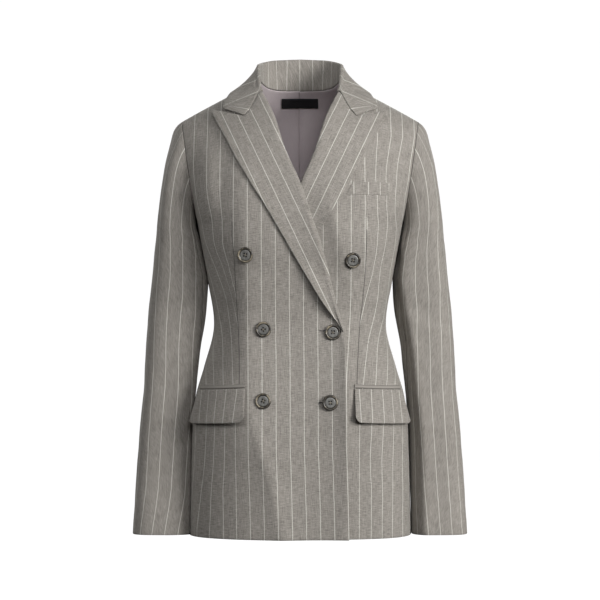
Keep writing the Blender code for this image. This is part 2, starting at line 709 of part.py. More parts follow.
WELT_TOP = (OutlinePoint(76.5, -158.0), OutlinePoint(131.5, -158.6))
WELT_FOOT = (OutlinePoint(67.5, -176.8), OutlinePoint(128.6, -177.2))
WELT_COLUMNS, WELT_ROWS = 8, 3


def add_chest_welt():
    top, foot = (np.linspace(*ends, WELT_COLUMNS) for ends in (WELT_TOP, WELT_FOOT))
    grid = np.linspace(top, foot, WELT_ROWS)
    rest = np.full(grid.shape[:2], WELT_REST)
    add_patch("chest_welt", "left", grid[..., 0], grid[..., 1], rest, WELT_THICKNESS)


# Buttons, each on the front it is sewn or buttoned through to, from the top pair down.
ButtonPlace = namedtuple("ButtonPlace", "name side own z")
BUTTONS = (
    ButtonPlace("button_top_right", "right", 76.8, -262.7),
    ButtonPlace("button_top_left", "left", 76.4, -271.9),
    ButtonPlace("button_middle_right", "right", 52.0, -373.3),
    ButtonPlace("button_middle_left", "right", -46.8, -377.7),
    ButtonPlace("button_bottom_right", "right", 53.0, -477.1),
    ButtonPlace("button_bottom_left", "right", -43.6, -479.4),
)
ButtonRing = namedtuple("ButtonRing", "radius height")
BUTTON_PROFILE = (
    ButtonRing(10.4, 0.0),
    ButtonRing(11.5, 1.1),
    ButtonRing(11.4, 2.6),
    ButtonRing(10.0, 3.4),
    ButtonRing(7.8, 2.3),
)
BUTTON_SEGMENTS, HOLE_SEGMENTS = 16, 6
SHANK = 1.3
HOLE_RADIUS, HOLE_OFFSET = 1.0, 1.9


def add_button(place):
    own, z = np.array(place.own), np.array(place.z)
    centre = on_front(place.side, own, z, np.array(SHANK))
    normal = trunk_normal(FRONT, *find(FRONT, own, z))
    across = unit(np.cross(UP, normal))
    above = np.cross(normal, across)
    bm = bmesh.new()

    def loop(x, y, radius, height, segments):
        angles = np.arange(segments) * 2 * np.pi / segments
        flat = (x + radius * np.cos(angles))[:, None] * across
        flat = flat + (y + radius * np.sin(angles))[:, None] * above
        points = mirror(centre + flat + normal * height, place.side)
        verts = [bm.verts.new(point * MM) for point in points]
        return verts, [bm.edges.new(pair) for pair in zip(verts, verts[1:] + verts[:1])]

    def join(lower, upper):
        for a, b, c, d in zip(lower, lower[1:] + lower[:1], upper[1:] + upper[:1], upper):
            bm.faces.new((a, b, c, d))

    rings = [loop(0, 0, *ring, BUTTON_SEGMENTS) for ring in BUTTON_PROFILE]
    for lower, upper in zip(rings, rings[1:]):
        join(lower[0], upper[0])
    faces = {BUTTON_PROFILE[0].height: rings[0][1], BUTTON_PROFILE[-1].height: rings[-1][1]}
    for x in (-HOLE_OFFSET, HOLE_OFFSET):
        for y in (-HOLE_OFFSET, HOLE_OFFSET):
            ends = [loop(x, y, HOLE_RADIUS, height, HOLE_SEGMENTS) for height in faces]
            join(ends[0][0], ends[1][0])
            for height, (_, edges) in zip(faces, ends):
                faces[height] = faces[height] + edges
    for edges in faces.values():
        bmesh.ops.triangle_fill(bm, edges=edges, use_beauty=True)
    add_object(place.name, bm, "horn")


LINING_GAP, LINING_THICKNESS = 1.2, 1.0
LINING_HEM, LINING_TOP, LINING_END = -655.0, -2.0, 0.97
LINING_COLUMNS, LABEL_COLUMNS = 5, 3
LABEL_HALF_WIDTH, LABEL_TOP, LABEL_FOOT = 29.0, -19.0, -33.5
LABEL_GAP, LABEL_THICKNESS = 2.0, 1.0


def add_lining(side):
    turn = np.linspace(0, LINING_END, LINING_COLUMNS)
    levels = np.maximum(row_heights(), LINING_HEM)[1:]
    height, turn = np.meshgrid(levels, turn, indexing="ij")
    height = squeezed(height, turn, LINING_TOP)
    at, normal = trunk(BACK, turn, height), trunk_normal(BACK, turn, height)
    sheets = []
    for depth in (CLOTH + LINING_GAP, CLOTH + LINING_GAP + LINING_THICKNESS):
        sheet = at - normal * depth
        sheet[:, 0, 0] = GAP / 2
        sheets.append(mirror(sheet, side))
    add_sheet(f"lining_{side}", *sheets, material="lining")


def add_label():
    own = np.linspace(-LABEL_HALF_WIDTH, LABEL_HALF_WIDTH, LABEL_COLUMNS)
    own, z = np.meshgrid(own, [LABEL_TOP, LABEL_FOOT])
    turn, height = find(BACK, own, z)
    at, normal = trunk(BACK, turn, height), trunk_normal(BACK, turn, height)
    depth = CLOTH + LINING_GAP + LINING_THICKNESS + LABEL_GAP
    inside = at - normal * (depth + LABEL_THICKNESS)
    add_sheet("label", at - normal * depth, inside, material="label")


for side in SIDES:
    add_front(side)
    add_back(side)
    add_sleeves(side)
    add_lapel(side)
    add_pocket(side)
    add_lining(side)
add_collar()
add_chest_welt()
add_label()
for place in BUTTONS:
    add_button(place)
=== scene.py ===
"""The looks of the double breasted blazer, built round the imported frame.

Sizes are in millimetres until a piece is made. As in the frame's own source, the points of a
side are worked out on the +X side, where x is called `own`, and are mirrored for the other side.
"""

from collections import namedtuple

import bmesh
import bpy
import numpy as np
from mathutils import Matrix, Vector


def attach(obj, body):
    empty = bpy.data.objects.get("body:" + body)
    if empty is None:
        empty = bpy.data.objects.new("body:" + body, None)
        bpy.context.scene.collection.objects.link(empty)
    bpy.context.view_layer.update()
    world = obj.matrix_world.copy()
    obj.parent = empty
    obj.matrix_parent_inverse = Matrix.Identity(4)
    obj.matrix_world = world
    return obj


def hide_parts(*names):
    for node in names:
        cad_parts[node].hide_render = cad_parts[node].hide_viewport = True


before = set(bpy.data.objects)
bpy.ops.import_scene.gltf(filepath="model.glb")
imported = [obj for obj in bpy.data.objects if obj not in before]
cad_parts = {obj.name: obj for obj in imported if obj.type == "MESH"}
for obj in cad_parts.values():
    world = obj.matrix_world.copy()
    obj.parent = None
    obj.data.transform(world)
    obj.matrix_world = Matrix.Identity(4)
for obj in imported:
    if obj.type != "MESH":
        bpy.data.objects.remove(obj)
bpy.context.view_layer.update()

MM = 0.001
GAP, CLOTH = 0.04, 2.0
FRONT, BACK = -1, 1
SIDES = {"left": 1, "right": -1}
STEP, DEGREE_STEP, HALVINGS = 1e-3, 0.1, 45
UP, FORWARD = np.array([0.0, 0.0, 1.0]), np.array([0.0, -1.0, 0.0])


def table(columns, *rows):
    """Rows of values whose columns have names."""
    row = namedtuple("Row", columns)
    return tuple(row(*values) for values in rows)


# Rows of the trunk, as in the frame's source.
TRUNK = table(
    "height half_width front back",
    (-678, 166.0, 133, 120), (-620, 164.5, 134, 122), (-560, 162.6, 135, 124),
    (-506, 160.5, 133, 120), (-470, 155.0, 129, 113), (-430, 143.5, 122, 101),
    (-365, 128.5, 113, 88), (-300, 138.0, 123, 97), (-240, 149.0, 135, 108),
    (-217, 153.0, 136, 111),
)
YOKE = table(
    "height round_armhole front back sweep slope",
    (-217, 180, 136, 111, 90, 2.0), (-165, 114, 129, 112, 70, 1.9),
    (-110, 84, 113, 107, 52, 1.7), (-60, 60, 90, 95, 45, 1.5), (-22, 41, 62, 75, 40, 1.35),
    (6, 21, 31, 43, 35, 1.23), (22, 0, 0, 0, 30, 1.19),
)
FRONT_OVAL = table("height power", (-678, 3.0), (-170, 3.0), (-70, 2.3), (22, 2.3))
BACK_OVAL, SLEEVE_FRONT_OVAL, SLEEVE_BACK_OVAL = 2.3, 3.0, 2.0
HEM, ARMPIT, RIDGE = TRUNK[0].height, YOKE[0].height, YOKE[-1].height
ARMHOLE_X, ARMHOLE_LEAN = 165.0, 12.0
ARMHOLE_Z, ARMHOLE_HALF_HEIGHT = -140.0, 77.0
ARMHOLE_HALF_DEPTH = {FRONT: 55.0, BACK: 60.0}
ARMHOLE_EGG = 0.15
ARMHOLE_SAMPLES = 400
SLEEVE_CLEARANCE = 0.05
MIX_FROM, MIX_FULL = -0.2, 0.2

FRONT_EDGE = table(
    "z own",
    (-678, -71.0), (-604, -69.5), (-475, -67.5), (-402, -65.0), (-384, -62.5), (-372, -59.0),
    (-350, -52.5), (-327, -46.7), (-276, -34.3), (-240, -24.3), (-211, -13.7), (-160, 3.8),
    (-134, 15.8), (-106, 27.0), (-68, 38.3), (-40, 50.3), (-20, 59.6), (0, 61.5),
)
BACK_NECK = table(
    "z own",
    (-13.0, 0), (-13.0, 22), (-12.5, 36), (-10.5, 48), (-6.5, 57), (-2.2, 61.5),
)
OVERLAP_LIFT = table(
    "z amount",
    (-678, 3.1), (-440, 3.1), (-385, 6.8), (-300, 7.8), (-160, 7.6), (-125, 3.5), (-85, 0.0),
    (22, 0.0),
)
LIFT_STARTS, LIFT_FULL = 125.0, 75.0
SLEEVE = table(
    "z outer inner middle_y half_depth",
    (-677, 249.0, 165.6, -24, 42), (-620, 246.0, 164.2, -19, 42.5),
    (-560, 242.0, 162.5, -12, 43.5), (-507, 238.3, 160.5, -7, 44.5),
    (-453, 233.0, 156.3, -2, 45.5), (-399, 231.0, 150.4, 1, 47), (-345, 226.5, 141.4, 2, 49),
    (-300, 222.0, 138.3, 1, 52), (-270, 219.0, 143.4, 0, 54), (-240, 215.5, 149.1, -1, 56),
    (-217, 213.5, 152.9, -2, 58), (-165, 207.0, 153.4, -1, 60), (-129, 202.0, 153.4, 0, 60),
    (-93, 194.0, 153.4, 0, 60), (-78, 190.0, 153.4, 0, 60), (-69, 184.5, 153.4, 0, 60),
    (-63, 177.4, 153.4, 0, 60),
)
CUFF = SLEEVE[0].z
CROWN_SHARE, CROWN_POWER = 0.16, 2.5
FRONT_SEAM = table("share angle", (0, 126), (0.3, 136), (0.65, 158), (1, 164))
BACK_SEAM = -110.0
HALF_GAP_ANGLE = 0.03


def unit(vectors):
    return vectors / np.linalg.norm(vectors, axis=-1, keepdims=True)


def smooth(knots, values):
    """A curve through the values that never swings past them."""
    knots, values = np.asarray(knots, float), np.asarray(values, float)
    run = np.diff(knots)
    slope = np.diff(values) / run
    before, after = slope[:-1], slope[1:]
    turning = before * after <= 0
    near, far = 2 * run[1:] + run[:-1], run[1:] + 2 * run[:-1]
    safe_before, safe_after = np.where(turning, 1, before), np.where(turning, 1, after)
    inside = (near + far) / (near / safe_before + far / safe_after)
    tangent = np.concatenate([slope[:1], np.where(turning, 0, inside), slope[-1:]])

    def at(x):
        x = np.clip(x, knots[0], knots[-1])
        i = np.clip(np.searchsorted(knots, x, side="right") - 1, 0, len(run) - 1)
        u = (x - knots[i]) / run[i]
        rise = tangent[i] * u * (1 - u) ** 2 - tangent[i + 1] * u**2 * (1 - u)
        return values[i] + (values[i + 1] - values[i]) * u**2 * (3 - 2 * u) + run[i] * rise

    return at


def column(rows, key, value):
    return smooth([getattr(row, key) for row in rows], [getattr(row, value) for row in rows])


def smooth_step(x, start, end):
    share = np.clip((x - start) / (end - start), 0, 1)
    return share**2 * (3 - 2 * share)


def solve(below, low, high):
    """The value at which below(value) turns false, found by halving."""
    low, high = np.broadcast_arrays(low, high)
    low, high = low.astype(float), high.astype(float)
    for _ in range(HALVINGS):
        middle = (low + high) / 2
        under = below(middle)
        low, high = np.where(under, middle, low), np.where(under, high, middle)
    return (low + high) / 2


HALF_WIDTH = column(TRUNK, "height", "half_width")
ROUND_ARMHOLE = column(YOKE, "height", "round_armhole")
SWEEP, SLOPE = column(YOKE, "height", "sweep"), column(YOKE, "height", "slope")
DEPTH = {
    FRONT: column(TRUNK + YOKE[1:], "height", "front"),
    BACK: column(TRUNK + YOKE[1:], "height", "back"),
}
OVAL = {FRONT: column(FRONT_OVAL, "height", "power"), BACK: lambda height: BACK_OVAL}
EDGE_OWN = column(FRONT_EDGE, "z", "own")
NECK_Z = column(BACK_NECK, "own", "z")
LIFT = column(OVERLAP_LIFT, "z", "amount")
OUTER, INNER = column(SLEEVE, "z", "outer"), column(SLEEVE, "z", "inner")
MIDDLE_Y, HALF_DEPTH = column(SLEEVE, "z", "middle_y"), column(SLEEVE, "z", "half_depth")
SEAM_ANGLE = column(FRONT_SEAM, "share", "angle")


def armhole(face, degrees):
    high, deep = np.cos(np.radians(degrees)), np.sin(np.radians(degrees))
    x = ARMHOLE_X + ARMHOLE_LEAN * high
    y = ARMHOLE_HALF_DEPTH[face] * deep * (1 - ARMHOLE_EGG * high)
    return x, y, ARMHOLE_Z + ARMHOLE_HALF_HEIGHT * high


def row_end(face, height):
    x, depth, z = armhole(face, ROUND_ARMHOLE(height))
    below = height <= ARMPIT
    return (
        np.where(below, HALF_WIDTH(height), x),
        np.where(below, 0, depth),
        np.where(below, height, z),
    )


def oval(radians, power):
    wide, deep = np.sin(radians), np.cos(radians)
    size = (np.abs(wide) ** power + np.abs(deep) ** power) ** (1 / power)
    return wide / size, deep / size


def row_z(face, own, height):
    x_end, _, z_end = row_end(face, height)
    return height - (height - z_end) * np.minimum(np.abs(own) / x_end, 1) ** SLOPE(height)


def row_own(face, turn, height):
    sweep = np.radians(SWEEP(height))
    power = OVAL[face](height)
    return row_end(face, height)[0] * oval(turn * sweep, power)[0] / oval(sweep, power)[0]


def trunk(face, turn, height):
    """The outer face of the trunk, `turn` of the way from the centre to the end of a row."""
    sweep = np.radians(SWEEP(height))
    own = row_own(face, turn, height)
    depth, end_depth = DEPTH[face](height), row_end(face, height)[1]
    power = OVAL[face](height)
    fall = (1 - oval(turn * sweep, power)[1]) / (1 - oval(sweep, power)[1])
    y = face * (depth - (depth - end_depth) * fall + GAP / 2)
    return np.stack([own, y, row_z(face, own, height)], -1)


def trunk_normal(face, turn, height):
    across = trunk(face, turn + STEP, height) - trunk(face, turn - STEP, height)
    top = np.minimum(height + STEP, RIDGE)
    along = trunk(face, turn, top) - trunk(face, turn, top - 2 * STEP)
    return unit(np.cross(across, along)) * -face


def find(face, own, z):
    """The turn and height of the trunk's point at this x and z."""
    own, z = np.broadcast_arrays(np.asarray(own, float), np.asarray(z, float))
    height = solve(lambda h: row_z(face, own, h) < z, HEM, RIDGE)
    turn = solve(lambda t: row_own(face, t, height) < np.abs(own), np.zeros_like(own), 1.0)
    return turn * np.sign(own), height


def lift(side, own, z):
    """How far the overlapping front stands off the trunk."""
    if side == "left":
        return np.zeros_like(own)
    return LIFT(z) * smooth_step(-own, -LIFT_STARTS, -LIFT_FULL)


def on_front(side, own, z, offset):
    """A point this far outside a front's outer face, at this x and z of the trunk."""
    turn, height = find(FRONT, own, z)
    normal = trunk_normal(FRONT, turn, height)
    stand_off = normal * (lift(side, own, z) + offset)[..., None]
    return trunk(FRONT, turn, height) + stand_off + FORWARD * drape(side, own, z)[..., None]


def sleeve(degrees, share):
    """The outer face of the sleeve, `share` of the way from the armhole to the cuff."""
    angle = np.radians(degrees)
    deep = np.where(degrees >= 0, ARMHOLE_HALF_DEPTH[FRONT], ARMHOLE_HALF_DEPTH[BACK])
    high = np.cos(angle)
    start_x = ARMHOLE_X + ARMHOLE_LEAN * high + SLEEVE_CLEARANCE
    start_y = -deep * np.sin(angle) * (1 - ARMHOLE_EGG * high)
    start_z = ARMHOLE_Z + ARMHOLE_HALF_HEIGHT * high

    power = np.where(degrees >= 0, SLEEVE_FRONT_OVAL, SLEEVE_BACK_OVAL)
    wide, forward = oval(np.pi / 2 - angle, power)

    def cross_section(z):
        x = (OUTER(z) + INNER(z)) / 2 + (OUTER(z) - INNER(z)) / 2 * wide
        return x, MIDDLE_Y(z) - HALF_DEPTH(z) * forward

    z = start_z + (CUFF - start_z) * share
    crown = (1 - np.clip(share / CROWN_SHARE, 0, 1)) ** CROWN_POWER
    x, y = cross_section(z)
    first_x, first_y = cross_section(start_z)
    return np.stack([x + crown * (start_x - first_x), y + crown * (start_y - first_y), z], -1)


def sleeve_normal(degrees, share):
    low = np.maximum(share - STEP, 0)
    around = sleeve(degrees + DEGREE_STEP, share) - sleeve(degrees - DEGREE_STEP, share)
    along = sleeve(degrees, low + 2 * STEP) - sleeve(degrees, low)
    return unit(np.cross(around, along))


def armhole_normals(face, degrees):
    """Normals at the armhole seam, of the trunk and of the sleeve."""
    heights = np.linspace(ARMPIT, RIDGE, ARMHOLE_SAMPLES)
    height = np.interp(-degrees, -ROUND_ARMHOLE(heights), heights)
    trunk_side = trunk_normal(face, np.ones_like(height), height)
    trunk_side[..., 1] *= degrees > STEP
    sleeve_side = sleeve_normal(-face * degrees, np.zeros_like(height))
    agree = (trunk_side * sleeve_side).sum(-1, keepdims=True)
    shared = unit(trunk_side + sleeve_side)
    weight = np.clip((agree - MIX_FROM) / (MIX_FULL - MIX_FROM), 0, 1)
    return [unit(own * (1 - weight) + shared * weight) for own in (trunk_side, sleeve_side)]


def grid_normals(points):
    across = np.gradient(points, axis=1)
    along = np.gradient(points, axis=0)
    return unit(np.cross(across, along))


def by_length(points, shares):
    """Points at these shares of the length of a line through points."""
    lengths = np.concatenate([[0], np.cumsum(np.linalg.norm(np.diff(points, axis=0), axis=1))])
    at = shares * lengths[-1]
    return np.stack([np.interp(at, lengths, values) for values in points.T], -1)


def mirror(points, side):
    return points * np.array([SIDES[side], 1, 1])


# --- Folds that the cloth hangs in ---
# A fold runs down through points of own and z. It is `depth` deep, a ridge if that is positive,
# and `crest` is the radius of its crest. It falls off over `outer` on the sleeve's side and
# `inner` on the other, and fades in over the share `top` of its length and out over `foot`.
FOLD = "depth crest outer inner top foot points"
FOLDS = {
    "right": table(
        FOLD,
        (7.5, 5, 38, 30, 0.45, 0, ((86, -130), (85, -185), (82, -228), (75, -270), (73, -360),
         (74, -446), (74, -500), (56, -548), (42, -592), (26, -678))),
        (5.0, 4, 30, 44, 0.4, 0, ((76, -490), (56, -548), (42, -592), (26, -678))),
        (-2.2, 3, 7, 7, 0.3, 0.5, ((101, -322), (112, -352), (128, -372))),
        (1.6, 3, 8, 8, 0.3, 0.5, ((98, -340), (106, -366), (124, -386))),
        (-2.2, 4, 10, 10, 0.3, 0.3, ((118, -110), (114, -150), (116, -205))),
        (1.8, 4, 12, 12, 0.3, 0.3, ((134, -90), (130, -150), (132, -215))),
        (5.5, 8, 12, 36, 0.2, 0.4, ((136, -95), (142, -160), (140, -230), (130, -300))),
    ),
    "left": table(
        FOLD,
        (5.6, 4, 30, 14, 0.3, 0.4, ((32, -140), (42, -184), (54, -228), (66, -272),
         (74, -330))),
        (-2.6, 3, 9, 9, 0.25, 0.3, ((128, -92), (112, -122), (88, -156))),
        (-1.6, 3, 7, 7, 0.3, 0.5, ((100, -330), (112, -352), (127, -366))),
        (1.2, 3, 8, 8, 0.3, 0.5, ((98, -350), (108, -368), (126, -384))),
        (-1.2, 4, 14, 14, 0.4, 0, ((104, -520), (100, -600), (98, -676))),
        (-1.4, 4, 12, 12, 0.3, 0.3, ((146, -90), (142, -150), (147, -205))),
    ),
}
# Where the overlapping front rolls up to the lapel's edge and to its own edge.
EDGE_FOLDS = table(
    FOLD,
    (4.5, 4, 10, 12, 0.5, 0.15, ((2, -262), (-8, -280), (-24, -306), (-40, -331), (-57, -354))),
    (7.0, 1.5, 8, 20, 0.1, 0.6, ((-50, -335), (-60, -365), (-66, -402), (-68, -520),
     (-71, -678))),
    (10.0, 12, 20, 20, 0.4, 0, ((-50, -335), (-60, -365), (-66, -402), (-68, -520),
     (-71, -678))),
)
RIPPLES = table("length turn depth", (61, 0.8, 0.35), (97, 2.1, 0.4), (43, 4.4, 0.2))


def line_distance(x, y, points):
    """The distance to a line through points, positive on its left, and the share along it."""
    points = np.array(points, float)
    spans = np.linalg.norm(np.diff(points, axis=0), axis=1)
    starts = np.concatenate([[0], np.cumsum(spans)])
    best, along = np.full(x.shape, np.inf), np.zeros(x.shape)
    for (ax, ay), (bx, by), start, span in zip(points, points[1:], starts, spans):
        share = np.clip(((x - ax) * (bx - ax) + (y - ay) * (by - ay)) / span**2, 0, 1)
        far = np.hypot(x - ax - share * (bx - ax), y - ay - share * (by - ay))
        left = np.where((bx - ax) * (y - ay) - (by - ay) * (x - ax) >= 0, 1, -1)
        nearer = far < np.abs(best)
        along = np.where(nearer, (start + share * span) / starts[-1], along)
        best = np.where(nearer, far * left, best)
    return best, along


def folds(table, x, y):
    """The height of all the folds in a table, at x and y."""
    x, y = np.broadcast_arrays(np.asarray(x, float), np.asarray(y, float))
    total = np.zeros(x.shape)
    for fold in table:
        far, along = line_distance(x, y, fold.points)
        width = np.where(far > 0, fold.outer, fold.inner)
        away = np.hypot(far, fold.crest) - fold.crest
        fade = smooth_step(along, 0, fold.top) if fold.top else 1
        fade = fade * (smooth_step(1 - along, 0, fold.foot) if fold.foot else 1)
        total += fold.depth * np.exp(-away / width) * fade
    return total


def ripples(x, y):
    """Long shallow waves, which keep cloth from looking pressed flat."""
    total = np.zeros(np.broadcast(x, y).shape)
    for length, turn, depth in RIPPLES:
        a, b = np.cos(turn), np.sin(turn)
        total = total + depth * np.sin((x * a + y * b) * 2 * np.pi / length + turn)
    return total


RIPPLE = 0.4
# Below LOOSE_EDGE_Z the overlapping front hangs loose as far as its edge. Above it, and where the
# other front hides a front, the folds fade out over these lengths.
LOOSE_EDGE_Z, LOOSE_FADE, EDGE_FADE, HIDDEN_FADE = -380.0, 40, 30, 25


def drape(side, own, z):
    """Folds of a front, which keep off the lapel's fold."""
    own, z = np.broadcast_arrays(np.asarray(own, float), np.asarray(z, float))
    edge = EDGE_OWN(z)
    hang = folds(FOLDS[side], own, z) + RIPPLE * ripples(own, z)
    if side == "left":
        return hang * smooth_step(own, -edge, HIDDEN_FADE - edge)
    loose = 1 - smooth_step(z, LOOSE_EDGE_Z - LOOSE_FADE, LOOSE_EDGE_Z)
    hang = hang * np.maximum(smooth_step(own, edge, edge + EDGE_FADE), loose)
    return hang + folds(EDGE_FOLDS, own, z)


# --- Materials ---
# A pair is the start and the end of a ramp, and four values add what it gives at them. A relief
# is the distance and the strength of a bump.
STRIPE, STRIPE_LINE, STRIPE_STRENGTH, STRIPE_WANDER = 20.35, (0.030, 0.014), 0.95, 0.0006
STRIPE_BREAKS, STRIPE_BREAK_SCALE = (0.3, 0.6, 0.5, 1.0), (900, 420, 1)
GRAIN, WEAR, PAINTED_SEAM_SHADE = (1.0, 2.0), (0.2, 0.8, 0.94, 1.05), (0.35, 1.1, 0.42, 1.0)
WOOL_RELIEF, SATIN_RELIEF, LABEL_RELIEF = (0.00025, 0.6), (0.00008, 0.5), (0.00008, 0.6)
HORN_RELIEF, THREAD_RELIEF = (0.00004, 0.4), (0.0001, 0.6)
WEFT_SCALE, WARP_SCALE, TWILL_ACROSS, TWILL_ALONG = (110, 1000, 1), (900, 60, 1), 0.0011, 0.0013
WOOL_DARK, WOOL_PALE, WOOL_STRIPE = (0.158, 0.146, 0.132), (0.378, 0.354, 0.324), (0.66, 0.65, 0.60)
SATIN_DARK, SATIN_PALE, SATIN_PAINTED_SHEEN = (0.56, 0.49, 0.51), (0.68, 0.60, 0.62), (0.74, 0.66, 0.68)
SATIN_RIB, LABEL_WEFT, LABEL_WARP = 0.0009, 0.0007, 0.0005
LABEL_DARK, LABEL_PALE = (0.006, 0.006, 0.007), (0.022, 0.022, 0.024)
DISH_DARK, DISH_PALE, GROOVE_PAINTED_SHADE = (0.105, 0.104, 0.100), (0.165, 0.164, 0.156), (0.028, 0.026, 0.022)
RIM_DARK, RIM_PALE, RIM_SIDE_AND_HOLE_SHADE = (0.035, 0.030, 0.024), (0.26, 0.225, 0.165), (0.022, 0.019, 0.015)
THREAD_DARK, THREAD_PALE = (0.20, 0.165, 0.115), (0.42, 0.36, 0.27)
GIMP_DARK, GIMP_PALE = (0.035, 0.034, 0.033), (0.10, 0.096, 0.09)


class Look:
    """A material. Its methods add nodes and give the sockets that come out of them."""

    def __init__(self, name):
        self.material = bpy.data.materials.new(name)
        self.material.use_nodes = True
        self.tree = self.material.node_tree

    def feed(self, made, values):
        for key, value in values.items():
            if isinstance(value, bpy.types.NodeSocket):
                self.tree.links.new(value, made.inputs[key])
            else:
                made.inputs[key].default_value = value

    def finish(self, values):
        """The material, with these values on its shader."""
        self.feed(self.tree.nodes["Principled BSDF"], values)
        return self.material

    def node(self, kind, values=None, **settings):
        made = self.tree.nodes.new(f"ShaderNode{kind}")
        for key, value in settings.items():
            setattr(made, key, value)
        self.feed(made, values or {})
        return made

    def cloth(self):
        """The place on the cloth, then its parts across and along the stripes, in metres."""
        place = self.node("UVMap", uv_map="Cloth").outputs[0]
        return place, *self.node("SeparateXYZ", {0: place}).outputs[:2]

    def marks(self, name):
        return self.node("Attribute", attribute_name=name).outputs["Fac"]

    def math(self, operation, a, b=0.0, c=0.0):
        return self.node("Math", {0: a, 1: b, 2: c}, operation=operation).outputs[0]

    def wave(self, along, length):
        return self.math("SINE", self.math("MULTIPLY", along, 2 * np.pi / length))

    def ramp(self, value, start, end, low=0.0, high=1.0):
        keys = {"Value": value, "From Min": start, "From Max": end, "To Min": low, "To Max": high}
        return self.node("MapRange", keys, interpolation_type="SMOOTHSTEP").outputs[0]

    def mix(self, factor, a, b, blend="MIX"):
        a, b = ((*value, 1) if isinstance(value, tuple) else value for value in (a, b))
        keys = {0: factor, 6: a, 7: b}
        return self.node("Mix", keys, data_type="RGBA", blend_type=blend).outputs[2]

    def dimmed(self, colour, share):
        grey = self.node("CombineColor", {channel: share for channel in range(3)}).outputs[0]
        return self.mix(1.0, colour, grey, "MULTIPLY")

    def noise(self, vector, scale, stretch=(1, 1, 1), detail=2.0):
        placed = self.node("Mapping", {"Vector": vector, "Scale": stretch}).outputs[0]
        keys = {"Vector": placed, "Scale": scale, "Detail": detail, "Roughness": 0.6}
        return self.node("TexNoise", keys).outputs["Fac"]

    def bump(self, height, distance, strength):
        keys = {"Height": height, "Distance": distance, "Strength": strength}
        return self.node("Bump", keys).outputs[0]


def wool():
    """Grey worsted with a pale pinstripe, and painted shade darkening it along the seams."""
    look = Look("wool")
    cloth, across, along = look.cloth()
    worn = look.math("MULTIPLY_ADD", look.noise(cloth, 40, detail=1), STRIPE_WANDER, across)
    place = look.math("FRACT", look.math("MULTIPLY_ADD", worn, 1 / (STRIPE * MM), 0.5))
    off = look.math("ABSOLUTE", look.math("SUBTRACT", place, 0.5))
    broken = look.ramp(look.noise(cloth, 1.0, STRIPE_BREAK_SCALE), *STRIPE_BREAKS)
    line = look.math("MULTIPLY", look.ramp(off, *STRIPE_LINE), broken)
    weft, warp = (look.noise(cloth, 1.0, scale, 3) for scale in (WEFT_SCALE, WARP_SCALE))
    grain = look.math("ADD", look.math("MULTIPLY", weft, 1.3), warp)
    grain = look.math("MULTIPLY_ADD", look.noise(cloth, 1100), 0.8, grain)
    grain = look.math("SUBTRACT", grain, 0.05)
    colour = look.mix(look.ramp(grain, *GRAIN), WOOL_DARK, WOOL_PALE)
    colour = look.dimmed(colour, look.ramp(look.noise(cloth, 12, detail=3), *WEAR))
    colour = look.mix(look.math("MULTIPLY", line, STRIPE_STRENGTH), colour, WOOL_STRIPE)
    # Painted shade along seams, darts and the jets' edges, where a groove would lie in shadow.
    colour = look.dimmed(colour, look.ramp(look.marks("seam"), *PAINTED_SEAM_SHADE))
    ribs = [
        look.math("MULTIPLY", way, 2 * np.pi / length)
        for way, length in ((across, TWILL_ACROSS), (along, TWILL_ALONG))
    ]
    height = look.math("MULTIPLY_ADD", look.math("SINE", look.math("ADD", *ribs)), 0.25, grain)
    return look.finish({
        "Base Color": colour,
        "Roughness": look.ramp(grain, *GRAIN, 0.95, 0.8),
        "Specular IOR Level": 0.25,
        "Sheen Weight": 0.3,
        "Sheen Roughness": 0.45,
        "Sheen Tint": (0.9, 0.88, 0.82, 1),
        "Normal": look.bump(height, *WOOL_RELIEF),
    })


def satin():
    """The lining's fine ribbed satin, which is a lilac grey, with painted sheen along its threads.
    """
    look = Look("lining")
    cloth, _, along = look.cloth()
    threads = look.noise(cloth, 1.0, (1500, 140, 1))
    soft = look.noise(cloth, 22, (1, 0.6, 1), 3)
    colour = look.mix(look.ramp(soft, 0.25, 0.75), SATIN_DARK, SATIN_PALE)
    # Painted sheen: a paler colour laid along the threads.
    colour = look.mix(look.ramp(threads, 0.3, 0.7, 0.0, 0.35), colour, SATIN_PAINTED_SHEEN)
    height = look.math("MULTIPLY_ADD", look.wave(along, SATIN_RIB), 0.3, threads)
    return look.finish({
        "Base Color": colour,
        "Roughness": look.ramp(threads, 0.2, 0.8, 0.5, 0.38),
        "Sheen Weight": 0.15,
        "Normal": look.bump(height, *SATIN_RELIEF),
    })


def woven_label():
    look = Look("label")
    _, across, along = look.cloth()
    weave = look.math("MULTIPLY", look.wave(along, LABEL_WEFT), look.wave(across, LABEL_WARP))
    return look.finish({
        "Base Color": look.mix(look.ramp(weave, -1, 1), LABEL_DARK, LABEL_PALE),
        "Roughness": look.ramp(weave, -1, 1, 0.6, 0.42),
        "Normal": look.bump(weave, *LABEL_RELIEF),
    })


